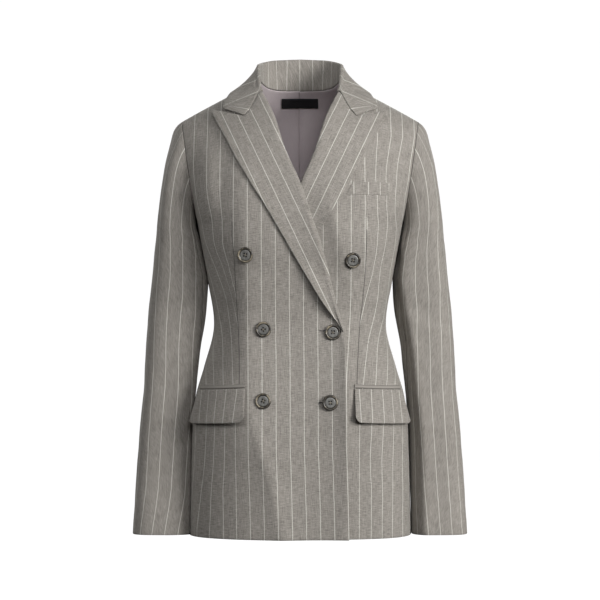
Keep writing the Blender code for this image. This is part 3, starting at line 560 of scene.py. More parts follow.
def horn():
    """Polished horn: a grey dish with painted shade in the groove round it, a dark streaky rim and
    a dark side, whose colour also paints shade into the holes. `ring` is the distance from the
    middle.
    """
    look = Look("horn")
    place = look.node("TexCoord").outputs["Object"]
    streaks = look.noise(place, 160, (1.6, 1, 0.6), 3)
    patch = look.noise(place, 75, (1, 1, 1.4), 3)
    ring = look.marks("ring")
    rim = look.mix(look.ramp(patch, 0.46, 0.62), RIM_DARK, RIM_PALE)
    colour = look.mix(look.ramp(streaks, 0.35, 0.65), DISH_DARK, DISH_PALE)
    # Painted shade in the groove round the dish; past the rim, the button's dark side, whose colour
    # also paints shade into the holes.
    for start, end, beyond in ((7.2, 7.7, GROOVE_PAINTED_SHADE), (8.2, 8.9, rim), (10.6, 11.3, RIM_SIDE_AND_HOLE_SHADE)):
        colour = look.mix(look.ramp(ring, start, end), colour, beyond)
    return look.finish({
        "Base Color": colour,
        "Roughness": look.ramp(streaks, 0.3, 0.7, 0.42, 0.3),
        "Coat Weight": 0.15,
        "Coat Roughness": 0.2,
        "Normal": look.bump(streaks, *HORN_RELIEF),
    })


def thread(name, dark, pale):
    look = Look(name)
    place = look.node("TexCoord").outputs["Object"]
    ply = look.node("TexWave", {"Vector": place, "Scale": 900.0, "Distortion": 1.5}).outputs["Fac"]
    return look.finish({
        "Base Color": look.mix(ply, dark, pale),
        "Roughness": 0.75,
        "Normal": look.bump(ply, *THREAD_RELIEF),
    })


MATERIALS = {
    "wool": wool(),
    "lining": satin(),
    "label": woven_label(),
    "horn": horn(),
    "thread": thread("thread", THREAD_DARK, THREAD_PALE),
    "gimp": thread("gimp", GIMP_DARK, GIMP_PALE),
}
WOOL_LINED = ("wool", "lining")

# --- Sheets of cloth ---
EDGE_STEP, EDGE_ROUND = 0.8, 0.45
# Painted shade darkens the cloth near a seam, so distances to the nearest seam are kept up to this.
FAR = 9.0


def spaced(count, length, start=0.0, end=1.0):
    """Shares from start to end, with an extra one close to both ends for a rounded edge."""
    tuck = EDGE_STEP / length
    return np.concatenate([[start], np.linspace(start + tuck, end - tuck, count), [end]])


def arc(points, axis):
    """The running length along an axis of a grid."""
    steps = np.linalg.norm(np.diff(points, axis=axis), axis=-1)
    first = np.zeros_like(np.take(steps, [0], axis=axis))
    return np.concatenate([first, np.cumsum(steps, axis=axis)], axis=axis)


def add_object(name, data):
    made = bpy.data.objects.new(name, data)
    bpy.context.collection.objects.link(made)
    return made


def finish_mesh(bm, name, material):
    """A smooth mesh of these faces, turned outwards."""
    bmesh.ops.recalc_face_normals(bm, faces=bm.faces)
    mesh = bpy.data.meshes.new(name)
    bm.to_mesh(mesh)
    bm.free()
    mesh.materials.append(MATERIALS[material])
    mesh.shade_smooth()
    return mesh


def shell(name, side, outside, normal, across, **looks):
    """A closed sheet with rounded edges, from grids of points and normals.

    across is the place of each point across the stripes, in stripes: one grid, or a pair of it
    for the faces after and before each column. looks may name the thickness, the materials of
    the outside and the inside, a grid of inside faces that keep the outside's, and the distances
    to the nearest seam.
    """
    thickness = looks.get("thickness", CLOTH)
    materials = looks.get("materials", ("wool", "wool"))
    rows, columns = outside.shape[:2]
    count = rows * columns
    inside = outside - normal * thickness
    outer = outside.copy()
    ring = np.ones((rows, columns), bool)
    ring[1:-1, 1:-1] = False
    tuck = normal * EDGE_ROUND * min(1, thickness / CLOTH)
    outer[ring] -= tuck[ring]
    inside[ring] += tuck[ring]
    points = np.concatenate([mirror(grid, side).reshape(-1, 3) for grid in (outer, inside)])
    number = np.arange(count).reshape(rows, columns)
    quads = np.stack([number[:-1, :-1], number[:-1, 1:], number[1:, 1:], number[1:, :-1]], -1)
    quads = quads.reshape(-1, 4)
    loop = [(0, j) for j in range(columns)] + [(i, columns - 1) for i in range(1, rows)]
    loop += [(rows - 1, j) for j in range(columns - 2, -1, -1)]
    loop += [(i, 0) for i in range(rows - 2, 0, -1)]
    edge = number[tuple(np.array(loop).T)]
    after = np.roll(edge, -1)
    rim = np.stack([edge, after, after + count, edge + count], -1)
    faces = np.concatenate([quads, quads[:, ::-1] + count, rim])
    mesh = bpy.data.meshes.new(name)
    mesh.from_pydata((points * MM).tolist(), [], faces.tolist())
    right, left = across if isinstance(across, tuple) else (across, across)
    right, left, along = right * STRIPE * MM, left * STRIPE * MM, arc(outside, 0) * MM
    u = np.stack([right[:-1, :-1], left[:-1, 1:], left[1:, 1:], right[1:, :-1]], -1).reshape(-1, 4)
    sheet_uv = np.stack([u, along.reshape(-1)[quads]], -1)
    rim_uv = np.stack([right.reshape(-1)[rim % count], along.reshape(-1)[rim % count]], -1)
    uv = np.concatenate([sheet_uv, sheet_uv[:, ::-1], rim_uv])
    mesh.uv_layers.new(name="Cloth").data.foreach_set("uv", uv.astype(np.float32).ravel())
    seam = np.full(2 * count, FAR)
    if "seam" in looks:
        seam[:count] = looks["seam"].reshape(-1)
    marks = mesh.attributes.new("seam", "FLOAT", "POINT")
    marks.data.foreach_set("value", seam.astype(np.float32))
    for material in dict.fromkeys(materials):
        mesh.materials.append(MATERIALS[material])
    if materials[0] != materials[1]:
        kinds = np.zeros(len(faces), np.int32)
        facing = looks.get("facing", np.zeros((rows, columns), bool))
        kinds[len(quads) : 2 * len(quads)] = ~facing[:-1, :-1].reshape(-1)
        mesh.polygons.foreach_set("material_index", kinds)
    bm = bmesh.new()
    bm.from_mesh(mesh)
    bmesh.ops.recalc_face_normals(bm, faces=bm.faces)
    bm.to_mesh(mesh)
    bm.free()
    mesh.shade_smooth()
    made = add_object(name, mesh)
    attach(made, "root")
    return made


# --- Where the stripes run ---
# Stripes as read from each front, as own at a height. Between the front edge and the dart they
# are one stripe apart from the first one's own.
CENTRE_STRIPES = {
    "right": table(
        "z own",
        (-678, -70.6), (-627, -69.5), (-584, -68.3), (-540, -67.0), (-446, -66.8),
        (-315, -65.7), (0, -65.7),
    ),
    "left": table(
        "z own",
        (-678, -76.0), (-446, -74.2), (-403, -71.8), (-359, -69.2), (-315, -67.8), (0, -67.8),
    ),
}
# Past the dart, the own of neighbouring stripes at a height. The first is stripe SIDE_FIRST.
SIDE_FIRST = 9
SIDE_STRIPES = {
    "right": table(
        "z own",
        (-668, (53.0, 72.0, 91.8, 111.1, 132.0, 151.7)),
        (-608, (57.0, 75.0, 93.0, 112.4, 129.8, 144.5)),
        (-565, (61.0, 77.5, 94.5, 110.9, 127.1, 140.0)),
        (-517, (62.0, 77.0, 93.0, 108.2, 124.3, 136.0)),
        (-447, (70.0, 84.0, 98.0, 112.5, 126.7, 138.5)),
        (-396, (76.0, 87.0, 99.9, 113.5, 129.6, 146.0)),
        (-330, (92.7, 98.5, 108.0, 124.5, 140.0, 160.0)),
        (-286, (103.1, 111.5, 122.9, 137.0, 153.0, 172.0)),
        (-242, (113.3, 126.4, 139.9, 153.5, 170.0, 188.0)),
        (-205, (113.7, 129.1, 147.6, 167.0, 187.0, 207.0)),
        (-155, (112.5, 132.0, 152.5, 173.0, 193.0, 213.0)),
        (-60, (113.5, 133.5, 153.0, 173.0, 193.0, 213.0)),
    ),
    "left": table(
        "z own",
        (-667, (46.0, 65.0, 82.8, 100.6, 116.9, 132.3, 147.5)),
        (-608, (49.0, 67.0, 84.5, 102.2, 118.6, 134.1, 149.1)),
        (-565, (50.0, 68.0, 85.2, 101.0, 118.1, 134.9, 149.4)),
        (-517, (48.0, 67.0, 84.4, 101.9, 119.7, 135.4, 149.2)),
        (-447, (57.0, 75.0, 93.2, 111.4, 128.1, 140.7, 157.0)),
        (-396, (66.0, 82.5, 99.5, 114.4, 131.0, 148.0, 165.0)),
        (-330, (79.0, 95.8, 114.0, 131.4, 149.0, 167.0, 185.0)),
        (-286, (90.0, 107.5, 117.6, 136.4, 155.0, 173.0, 191.0)),
        (-249, (96.0, 112.9, 125.1, 141.9, 160.0, 178.0, 196.0)),
        (-206, (98.8, 115.2, 129.4, 141.5, 160.0, 178.0, 196.0)),
        (-178, (100.1, 117.3, 130.1, 143.3, 161.0, 179.0, 197.0)),
        (-150, (96.8, 111.8, 127.2, 143.3, 162.0, 180.0, 198.0)),
        (-87, (96.0, 115.4, 135.7, 153.0, 171.0, 190.0, 209.0)),
    ),
}
STRETCH_LIMIT, STRIPE_JOIN = 1.7, 40
DART = {
    "right": table(
        "z own",
        (-678, 85.0), (-450, 87.5), (-389, 86.8), (-346, 88.9), (-299, 91.8), (-266, 93.6),
        (-235, 96.6), (0, 98.0),
    ),
    "left": table(
        "z own",
        (-678, 83.0), (-450, 83.1), (-409, 84.8), (-361, 88.0), (-327, 92.0), (-286, 95.1),
        (-250, 96.7), (0, 98.0),
    ),
}
DART_TOP = {"right": -215.0, "left": -225.0}
POCKET_Z = -455.0
DART_OWN = {side: column(points, "z", "own") for side, points in DART.items()}
FIRST_STRIPE = {side: column(points, "z", "own") for side, points in CENTRE_STRIPES.items()}


def between(rows, own, z):
    """The stripe at own and z, from rows that give the own of each stripe at a height."""
    heights = [row.z for row in rows]
    lines = [smooth(heights, values)(z) for values in zip(*(row.own for row in rows))]
    stripe = (own - lines[0]) / STRIPE
    for k, (low, high) in enumerate(zip(lines, lines[1:])):
        stripe = np.where(own >= low, k + (own - low) / (high - low), stripe)
    return np.where(own >= lines[-1], len(lines) - 1 + (own - lines[-1]) / STRIPE, stripe)


def front_stripes(side, outside, dart):
    """Stripes at a front's points, for the faces after and before each column."""
    own, z = outside[..., 0], outside[..., 2]
    centre = (own - FIRST_STRIPE[side](z)) / STRIPE
    beyond = SIDE_FIRST + between(SIDE_STRIPES[side], own, z)
    steps = np.diff(arc(outside, 1), axis=1)[:, dart:] / STRIPE / STRETCH_LIMIT
    steps = np.maximum(np.diff(beyond[:, dart:], axis=1), steps)
    beyond[:, dart + 1 :] = beyond[:, dart : dart + 1] + np.cumsum(steps, axis=1)
    joined = smooth_step(z, DART_TOP[side], DART_TOP[side] + STRIPE_JOIN)
    joined = (joined + 1 - smooth_step(z, POCKET_Z - STRIPE_JOIN, POCKET_Z))[:, dart : dart + 1]
    jump = (beyond - centre)[:, dart : dart + 1]
    beyond = beyond - (jump - np.round(jump)) * joined
    after, before = centre.copy(), centre.copy()
    after[:, dart:] = beyond[:, dart:]
    before[:, dart + 1 :] = beyond[:, dart + 1 :]
    return after, before


LAPEL_LEAN, LAPEL_ORIGIN, LAPEL_FOLD_Z = np.radians(25.4), 59.3, -126.6


def lapel_stripes(own, z):
    lean = (own - np.tan(LAPEL_LEAN) * (z - LAPEL_FOLD_Z) - LAPEL_ORIGIN) * np.cos(LAPEL_LEAN)
    return lean / STRIPE


FLAP_STRIPES = {
    "right": table(
        "z own",
        (-504, (98.0, 112.4, 125.9, 137.2, 148.0)), (-462, (92.2, 107.8, 121.8, 133.6, 145.0)),
    ),
    "left": table(
        "z own",
        (-504, (89.4, 105.8, 123.5, 138.0, 150.0)), (-462, (86.7, 104.2, 121.0, 134.6, 146.0)),
    ),
}
SLEEVE_STRIPE = {"left": 17.2, "right": 18.6}
SLEEVE_STRIPES = {
    "left": table(
        "z angle",
        (-677, 90.0), (-600, 93.0), (-500, 94.3), (-430, 90.8), (-374, 85.9), (-305, 78.0),
        (-250, 80.5), (-182, 73.0), (-120, 64.0),
    ),
    "right": table(
        "z angle",
        (-677, 75.0), (-600, 83.8), (-500, 84.0), (-430, 82.0), (-330, 73.3), (-250, 74.4),
        (-182, 72.8), (-120, 63.5),
    ),
}
SLEEVE_STRIPE_ANGLE = {side: column(rows, "z", "angle") for side, rows in SLEEVE_STRIPES.items()}

# --- The trunk ---
ROW_PITCH, SQUEEZE_START = 4.0, -60.0
CALM_TURN = 0.9


def row_heights(pitch=ROW_PITCH):
    return spaced(int((RIDGE - HEM) / pitch), RIDGE - HEM) * (RIDGE - HEM) + HEM


def seam_trunk_normals(face, turn, height):
    """Normals of a trunk panel whose top row is the ridge and last column its side."""
    normal = trunk_normal(face, turn, height)
    side_height = height[:, -1]
    above = side_height > ARMPIT
    angle = ROUND_ARMHOLE(side_height)
    normal[:, -1, 1] = 0
    normal[above, -1] = armhole_normals(face, angle)[0][above]
    normal[-1, height[-1] > RIDGE - 1.0, 1] = 0
    return unit(normal)


def seam_distance(outside, *columns, top=True):
    """The distance of each point from the nearest of these columns or the top row.

    A column comes with the rows in which it is a seam, or None for all.
    """
    across, along = arc(outside, 1), arc(outside, 0)
    far = np.abs(along - along[-1]) if top else np.full(outside.shape[:2], FAR)
    for j, rows in columns:
        near = np.abs(across - across[:, j][:, None])
        far = np.where(True if rows is None else rows[:, None], np.minimum(far, near), far)
    return np.minimum(far, FAR)


FRONT_NEAR, FRONT_FAR, FACING = 54, 34, 70.0
NEAR_WIDTH, FAR_WIDTH = 150.0, 130.0


def make_front(side):
    height = row_heights()
    end = row_end(FRONT, height)[0]

    def turn_at(line):
        own = solve(lambda x: x < line(row_z(FRONT, x, height)), -end, end)
        return find(FRONT, own, row_z(FRONT, own, height))[0]

    first, split = turn_at(EDGE_OWN), turn_at(DART_OWN[side])
    near = spaced(FRONT_NEAR, NEAR_WIDTH)[:, None] * (split - first) + first
    beyond = spaced(FRONT_FAR, FAR_WIDTH)[:, None] * (1 - split) + split
    turn = np.concatenate([near, beyond[1:]]).T
    dart = len(near) - 1
    height = np.broadcast_to(height[:, None], turn.shape)
    outside = trunk(FRONT, turn, height)
    normal = seam_trunk_normals(FRONT, turn, height)
    own, z = outside[..., 0], outside[..., 2]
    hang = drape(side, own, z) * (1 - smooth_step(turn, CALM_TURN, 1))
    outside = outside + normal * lift(side, own, z)[..., None] + FORWARD * hang[..., None]
    darted = (z[:, dart] < DART_TOP[side]) & (z[:, dart] > POCKET_Z)
    looks = {
        "seam": seam_distance(outside, (-1, None), (dart, darted)),
        "materials": WOOL_LINED,
        "facing": arc(outside, 1) < FACING,
    }
    stripes = front_stripes(side, outside, dart)
    made = shell(f"cloth_front_{side}", side, outside, normal, stripes, **looks)
    finish_sheet(f"front_{side}")


def finish_sheet(node):
    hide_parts(node)


def back_top(turn):
    """The height at which a line up the back meets the neck or the shoulder seam."""

    def below(height):
        own = row_own(BACK, turn, height)
        return (row_z(BACK, own, height) < NECK_Z(own)) | (own > BACK_NECK[-1].own)

    return solve(below, np.full_like(turn, SQUEEZE_START), RIDGE)


def squeezed(height, turn, top):
    """Heights above SQUEEZE_START scaled so that the ridge comes this far from the back's top."""
    share = (back_top(turn) + top - SQUEEZE_START) / (RIDGE - SQUEEZE_START)
    above = SQUEEZE_START + (height - SQUEEZE_START) * share
    return np.where(height < SQUEEZE_START, height, above)


BACK_NEAR, BACK_FAR, BACK_NEAR_WIDTH, BACK_FAR_WIDTH = 22, 36, 80.0, 150.0
BACK_SEAM_TURN, BACK_FADE_START, BACK_FADE_END, BACK_RIPPLE_SHIFT = 0.1, -80, -30, 300


def make_back(side):
    corner = float(find(BACK, BACK_NECK[-1].own, BACK_NECK[-1].z)[0])
    near, beyond = spaced(BACK_NEAR, BACK_NEAR_WIDTH), spaced(BACK_FAR, BACK_FAR_WIDTH)
    turn = np.concatenate([near * corner, (corner + (1 - corner) * beyond)[1:]])
    height, turn = np.meshgrid(row_heights(), turn, indexing="ij")
    height = squeezed(height, turn, 0)
    outside = trunk(BACK, turn, height)
    outside[:, 0, 0] = GAP / 2
    normal = seam_trunk_normals(BACK, turn, height)
    own, z = outside[..., 0], outside[..., 2]
    calm = smooth_step(turn, 0, BACK_SEAM_TURN) * (1 - smooth_step(turn, CALM_TURN, 1))
    calm = calm * (1 - smooth_step(z, BACK_FADE_START, BACK_FADE_END))
    waves = ripples(own + BACK_RIPPLE_SHIFT * SIDES[side], z)
    hang = (folds(BACK_FOLDS, own, z) + RIPPLE * waves) * calm
    outside = outside + normal * hang[..., None]
    stripes = arc(outside, 1) / STRIPE + 0.5
    looks = {"seam": seam_distance(outside, (0, None), (-1, None)), "materials": WOOL_LINED}
    made = shell(f"cloth_back_{side}", side, outside, normal, stripes, **looks)
    finish_sheet(f"back_{side}")


BACK_FOLDS = table(
    FOLD,
    (-2.0, 3, 9, 9, 0.3, 0.4, ((60, -352), (96, -362), (126, -372))),
    (1.4, 3, 9, 9, 0.3, 0.4, ((54, -372), (92, -380), (124, -390))),
    (-1.6, 4, 12, 12, 0.3, 0.4, ((146, -150), (132, -210), (118, -290))),
    (1.2, 4, 14, 14, 0.3, 0.4, ((124, -130), (112, -200), (104, -270))),
    (1.4, 8, 26, 26, 0.4, 0, ((66, -440), (74, -560), (80, -680))),
    (-1.2, 6, 20, 20, 0.4, 0, ((116, -450), (122, -560), (126, -680))),
)

# --- Sleeves ---
TOP_COLUMNS, UNDER_COLUMNS, SLEEVE_ROWS = 56, 30, 150
SLEEVE_LENGTH, SLEEVE_COLUMN, ROW_POWER = 560.0, 4.0, 1.15
MM_PER_DEGREE, SLEEVE_RIPPLE, SLEEVE_SINK = 0.9, 0.5, 0.2
CROWN_CALM, SEAM_CALM, CUFF_FACING = (0.02, 0.12), 0.12, 0.93
# The pressed crease down each sleeve's inner front, and the folds of a sleeve, over the angle
# round it and its height.
CREASES = {
    "left": table(
        FOLD,
        (6.0, 1.5, 10, 16, 0.1, 0, ((128, -110), (126, -228), (114, -272), (108, -359),
         (107, -446), (103, -548), (105, -636), (105, -677))),
        (-5.0, 3, 14, 7, 0.1, 0.3, ((146, -110), (144, -228), (132, -272), (126, -359),
         (124, -446), (122, -548), (122, -677))),
    ),
    "right": table(
        FOLD,
        (7.0, 2.0, 10, 25, 0.1, 0, ((130, -110), (128, -228), (130, -360), (130, -677))),
    ),
}
SLEEVE_FOLDS = {
    "left": table(
        FOLD,
        (-1.6, 3, 9, 9, 0.2, 0.6, ((120, -330), (70, -356), (20, -380))),
        (1.4, 3, 10, 10, 0.2, 0.6, ((120, -352), (70, -378), (20, -404))),
        (-1.2, 3, 9, 9, 0.2, 0.6, ((126, -262), (90, -284), (50, -300))),
        (-1.6, 3, 10, 10, 0.2, 0.6, ((-100, -340), (-60, -352), (-10, -370))),
        (1.4, 3, 10, 10, 0.2, 0.6, ((-100, -362), (-60, -374), (-10, -392))),
        (-1.5, 4, 12, 12, 0.3, 0.5, ((62, -90), (66, -150), (70, -220))),
        (1.2, 4, 14, 14, 0.3, 0.5, ((30, -90), (34, -160), (36, -240))),
    ),
    "right": table(
        FOLD,
        (-1.8, 3, 9, 9, 0.2, 0.6, ((124, -322), (78, -350), (26, -376))),
        (1.5, 3, 10, 10, 0.2, 0.6, ((124, -344), (78, -372), (26, -398))),
        (-1.1, 3, 9, 9, 0.2, 0.6, ((126, -270), (92, -290), (56, -304))),
        (-1.6, 3, 10, 10, 0.2, 0.6, ((-100, -334), (-60, -348), (-10, -366))),
        (1.4, 3, 10, 10, 0.2, 0.6, ((-100, -356), (-60, -370), (-10, -388))),
        (-1.5, 4, 12, 12, 0.3, 0.5, ((58, -90), (62, -150), (66, -220))),
        (1.2, 4, 14, 14, 0.3, 0.5, ((26, -90), (30, -160), (32, -240))),
    ),
}


def make_sleeve_panel(name, side, first, last, columns, flat, area):
    rows = spaced(SLEEVE_ROWS, SLEEVE_LENGTH) ** ROW_POWER
    across = spaced(columns, columns * SLEEVE_COLUMN)
    share = np.broadcast_to(rows[:, None], (len(rows), len(across)))
    degrees = first(share) * (1 - across) + last(share) * across
    degrees = (degrees + 180) % 360 - 180
    outside, normal = sleeve(degrees, share), sleeve_normal(degrees, share)
    ring = degrees[0]
    at_armhole = {face: armhole_normals(face, np.abs(ring))[1] for face in (FRONT, BACK)}
    normal[0] = np.where(ring[:, None] >= 0, at_armhole[FRONT], at_armhole[BACK])
    own, z = degrees * MM_PER_DEGREE, outside[..., 2]
    past_crown = smooth_step(share, *CROWN_CALM)
    calm = smooth_step(across, 0, SEAM_CALM) * (1 - smooth_step(across, 1 - SEAM_CALM, 1))
    calm = calm * past_crown * (1 - smooth_step(share, CUFF_FACING, 1))
    hang = folds(SLEEVE_FOLDS[side], own, z) + SLEEVE_RIPPLE * ripples(own, z) - SLEEVE_SINK
    hang = hang * calm + folds(CREASES[side], own, z) * past_crown
    stripes = sleeve_stripes(side, degrees, share, z)
    outside = outside + normal * hang[..., None]
    seam = seam_distance(outside, (0, None), (-1, None), top=False)
    looks = {
        "seam": np.minimum(seam, arc(outside, 0)),
        "materials": WOOL_LINED,
        "facing": share > CUFF_FACING,
    }
    made = shell(f"cloth_{name}_{side}", side, outside, normal, stripes, **looks)
    finish_sheet(f"{name}_{side}")


def sleeve_stripes(side, degrees, share, z):
    """Stripes at equal lengths round the sleeve, counted from the one that was read."""
    round_by = np.linspace(-180, 180, 361)
    angles, shares = np.broadcast_arrays(round_by, np.maximum(share[:, :1], CROWN_SHARE))
    rings = arc(sleeve(angles, shares)[..., :2], 1)
    starts = SLEEVE_STRIPE_ANGLE[side](z.mean(1))
    lengths = [
        np.interp(row, round_by, ring) - np.interp(start, round_by, ring)
        for row, start, ring in zip(degrees, starts, rings)
    ]
    return np.array(lengths) / SLEEVE_STRIPE[side]


def make_sleeves(side):
    def top_back(share):
        return np.full_like(share, BACK_SEAM + HALF_GAP_ANGLE)

    def top_front(share):
        return SEAM_ANGLE(share) - HALF_GAP_ANGLE

    def under_front(share):
        return SEAM_ANGLE(share) + HALF_GAP_ANGLE

    def under_back(share):
        return np.full_like(share, BACK_SEAM + 360 - HALF_GAP_ANGLE)

    top, under = (top_back, top_front), (under_front, under_back)
    make_sleeve_panel("sleeve_top", side, *top, TOP_COLUMNS, (0.24, 0.63), 0.115)
    make_sleeve_panel("sleeve_under", side, *under, UNDER_COLUMNS, (0.11, 0.56), 0.040)


# --- Lapels ---
LAPEL_EDGE = table(
    "own z",
    (-58.3, -372.5), (-49.8, -358), (-29.0, -326), (-6.0, -287), (13.0, -256), (33.5, -221.5),
    (53.5, -188), (68.0, -166), (92.0, -125.5), (109.0, -92), (127.5, -60), (128.7, -50),
)
GORGE = table("own z", (65.0, -36.0), (72.2, -49.3), (81.5, -60.3))
GORGE_GAP = 0.7
LAPEL_BOTTOM, LAPEL_TOP = -377.0, -24.2
LAPEL_ROWS, LAPEL_COLUMNS, LAPEL_SAMPLES, GORGE_POWER = 96, 34, 60, 3
NOTCH_SHARE = 0.4
FOLD_RADIUS = {"left": 0.8, "right": 1.4}
LAPEL_EDGE_LIFT = {
    "left": table("z amount", (-378, 0.4), (-200, 1.2), (-40, 0.8)),
    "right": table(
        "z amount",
        (-378, 0.6), (-362, 2.4), (-335, 5.6), (-300, 4.2), (-270, 1.6), (-240, 1.0),
        (-160, 1.0), (-100, 1.4), (-40, 1.2),
    ),
}
LAPEL_REST, FOLD_GAP = 1.0, 0.5
LAPEL_LENGTH, LAPEL_WIDTH, FIRST_COLUMN, GORGE_SHARES = 370.0, 110, 0.04, (0.12, 0.25)
FOLD_ANGLES = np.radians([0, 30, 60, 90, 120, 150, 180])


def lapel_columns():
    inner = np.linspace(FIRST_COLUMN, NOTCH_SHARE, int(LAPEL_COLUMNS * NOTCH_SHARE))
    outer = spaced(LAPEL_COLUMNS - len(inner), LAPEL_WIDTH, NOTCH_SHARE, 1)
    return np.concatenate([inner, outer[1:]])


def lapel_outline(rows, columns):
    """Own and z over the lapel, as a grid of rows from the break up and columns outwards."""
    z = np.linspace(LAPEL_BOTTOM, LAPEL_TOP, LAPEL_SAMPLES)
    inner = by_length(np.stack([EDGE_OWN(z), z], -1), rows)
    outer = by_length(np.array(LAPEL_EDGE, float), rows)
    grid = inner[:, None] * (1 - columns[:, None]) + outer[:, None] * columns[:, None]
    corners = np.array([inner[-1], *GORGE, outer[-1]])
    corners[1:4, 1] -= GORGE_GAP
    knots = (0, *GORGE_SHARES, NOTCH_SHARE, 1)
    top = np.stack([np.interp(columns, knots, corners[:, axis]) for axis in (0, 1)], -1)
    return inner, grid + (top - grid[-1]) * (rows**GORGE_POWER)[:, None, None]


def fold_frame(side, own, z):
    """Along a front's inner edge: the points, the normals and the directions into the front."""
    edge = on_front(side, own, z, np.zeros_like(own))
    turn, height = find(FRONT, own, z)
    normal = trunk_normal(FRONT, turn, height)
    inward = unit(np.cross(np.gradient(edge, axis=0), normal))
    return edge, normal, inward * np.sign(inward[:, :1])


def make_lapel(side):
    columns = lapel_columns()
    inner, grid = lapel_outline(spaced(LAPEL_ROWS, LAPEL_LENGTH), columns)
    edge, normal, inward = fold_frame(side, inner[:, 0], inner[:, 1])
    radius = FOLD_RADIUS[side]

    def rolled(reach):
        along = (-FOLD_GAP - reach * np.sin(FOLD_ANGLES))[:, None] * inward[:, None]
        up = (radius - reach * np.cos(FOLD_ANGLES))[:, None] * normal[:, None]
        return edge[:, None] + along + up

    raised = column(LAPEL_EDGE_LIFT[side], "z", "amount")(grid[..., 1])
    rest = 2 * radius * (1 - columns) ** 3 + raised * columns**2 + LAPEL_REST
    flat = [on_front(side, grid[..., 0], grid[..., 1], rest + more) for more in (0, CLOTH)]
    under = np.concatenate([rolled(radius), flat[0]], axis=1)
    shown = np.concatenate([rolled(radius + CLOTH), flat[1]], axis=1)
    stripes = lapel_stripes(shown[..., 0], shown[..., 2])
    thick = np.linalg.norm(shown - under, axis=-1, keepdims=True)
    made = shell(f"cloth_lapel_{side}", side, shown, (shown - under) / thick, stripes)
    finish_sheet(f"lapel_{side}")


# --- The collar ---
COLLAR_BACK = table(
    "neck neck_z fold_x fold_y fold_z edge edge_z",
    (0.0, -13.0, 0.0, 70.0, 37.0, 0.0, -25.0), (22.0, -13.0, 22.0, 68.5, 36.1, 24.0, -26.5),
    (36.0, -12.5, 38.0, 62.0, 34.8, 45.0, -30.0), (48.0, -10.5, 50.0, 50.0, 32.0, 65.0, -34.5),
    (57.0, -6.5, 58.5, 34.0, 28.5, 82.0, -34.5), (61.5, 0.0, 62.5, 12.0, 24.5, 95.0, -28.0),
)
COLLAR_FRONT = table(
    "neck neck_z fold_x fold_y fold_z edge edge_z",
    (61.4, -2.0, 62.6, 2.0, 19.0, 101.0, -23.5), (61.0, -7.0, 62.0, -9.0, 12.0, 107.5, -31.5),
    (60.3, -14.0, 60.2, -30.0, -4.5, 112.3, -40.0),
    (58.8, -22.0, 55.1, -45.2, -19.6, 112.6, -49.2),
)
COLLAR_ROWS = 56
COLLAR_RADIUS, COLLAR_SEAM, COLLAR_REST = 1.2, 1.1, 2.9
COLLAR_BULGE, GORGE_REACH = -2.0, 0.62
SKIN_SAMPLES, SKIN_BOTTOM = 90, -120
HALF_COLLAR, STAND_STEPS = 250, (0, 0.03, *np.linspace(0.1, 0.9, 9))
FALL_STEPS = (*np.linspace(0, 0.985, 19)[1:], 1)
GORGE_STEPS = (0, 1 / 6, 2 / 6, 3 / 6, 1)


def clear_of_trunk(points, offset):
    """Points moved out so that they stand off the trunk by at least the offset."""
    heights = np.linspace(SKIN_BOTTOM, RIDGE, SKIN_SAMPLES)
    turn, height = np.meshgrid(np.linspace(0, 1, SKIN_SAMPLES), heights)
    skin = np.concatenate([trunk(face, turn, height).reshape(-1, 3) for face in (FRONT, BACK)])
    out = np.concatenate([trunk_normal(f, turn, height).reshape(-1, 3) for f in (FRONT, BACK)])
    flat = points.reshape(-1, 3).copy()
    nearest = np.array([((point - skin) ** 2).sum(-1).argmin() for point in flat])
    stand_off = ((flat - skin[nearest]) * out[nearest]).sum(-1)
    flat += out[nearest] * np.maximum(offset - stand_off, 0)[:, None]
    return flat.reshape(points.shape)


FALL_STRIPES = table("own z slope", (58.0, 0.3, -0.33), (57.0, -18.0, -0.43), (55.0, -53.0, 0.214))
FALL_STRIPE_GAP, FALL_STRIPE_SHARE = 5.0, 0.68


def fall_stripes(points):
    """Stripes where the collar's fall lies on a front, as read there along three lines."""
    x, z = points[..., 0], points[..., 2]
    top, middle, low = (line.z + line.slope * (x - line.own) for line in FALL_STRIPES)
    low = np.minimum(low, middle - FALL_STRIPE_GAP)
    upper = (top - z) / np.where(z > top, STRIPE, top - middle)
    return np.where(z > middle, upper, 1 + (middle - z) / (middle - low))


def collar_stripes(half, run, share, level_z):
    """Stripes of half the collar: evenly spaced round the stand, and level at the fall's ends."""
    fall = len(STAND_STEPS) + len(FOLD_ANGLES) + 1
    even = np.broadcast_to(run[:, None] / STRIPE, half.shape[:2])
    level = fall_stripes(half)
    level += np.round((even - level)[np.abs(level_z).argmin(), fall])
    front = np.searchsorted(share, FALL_STRIPE_SHARE)
    steps = np.diff(arc(half, 0), axis=0)[:front] / STRIPE
    level[:front] = level[front] - np.cumsum(steps[::-1], axis=0)[::-1]
    on_fall = (np.arange(half.shape[1]) - len(STAND_STEPS)) / len(FOLD_ANGLES)
    on_fall = np.clip(on_fall, 0, 1) * smooth_step(share, 0, FALL_STRIPE_SHARE)[:, None]
    return even + (level - even) * on_fall


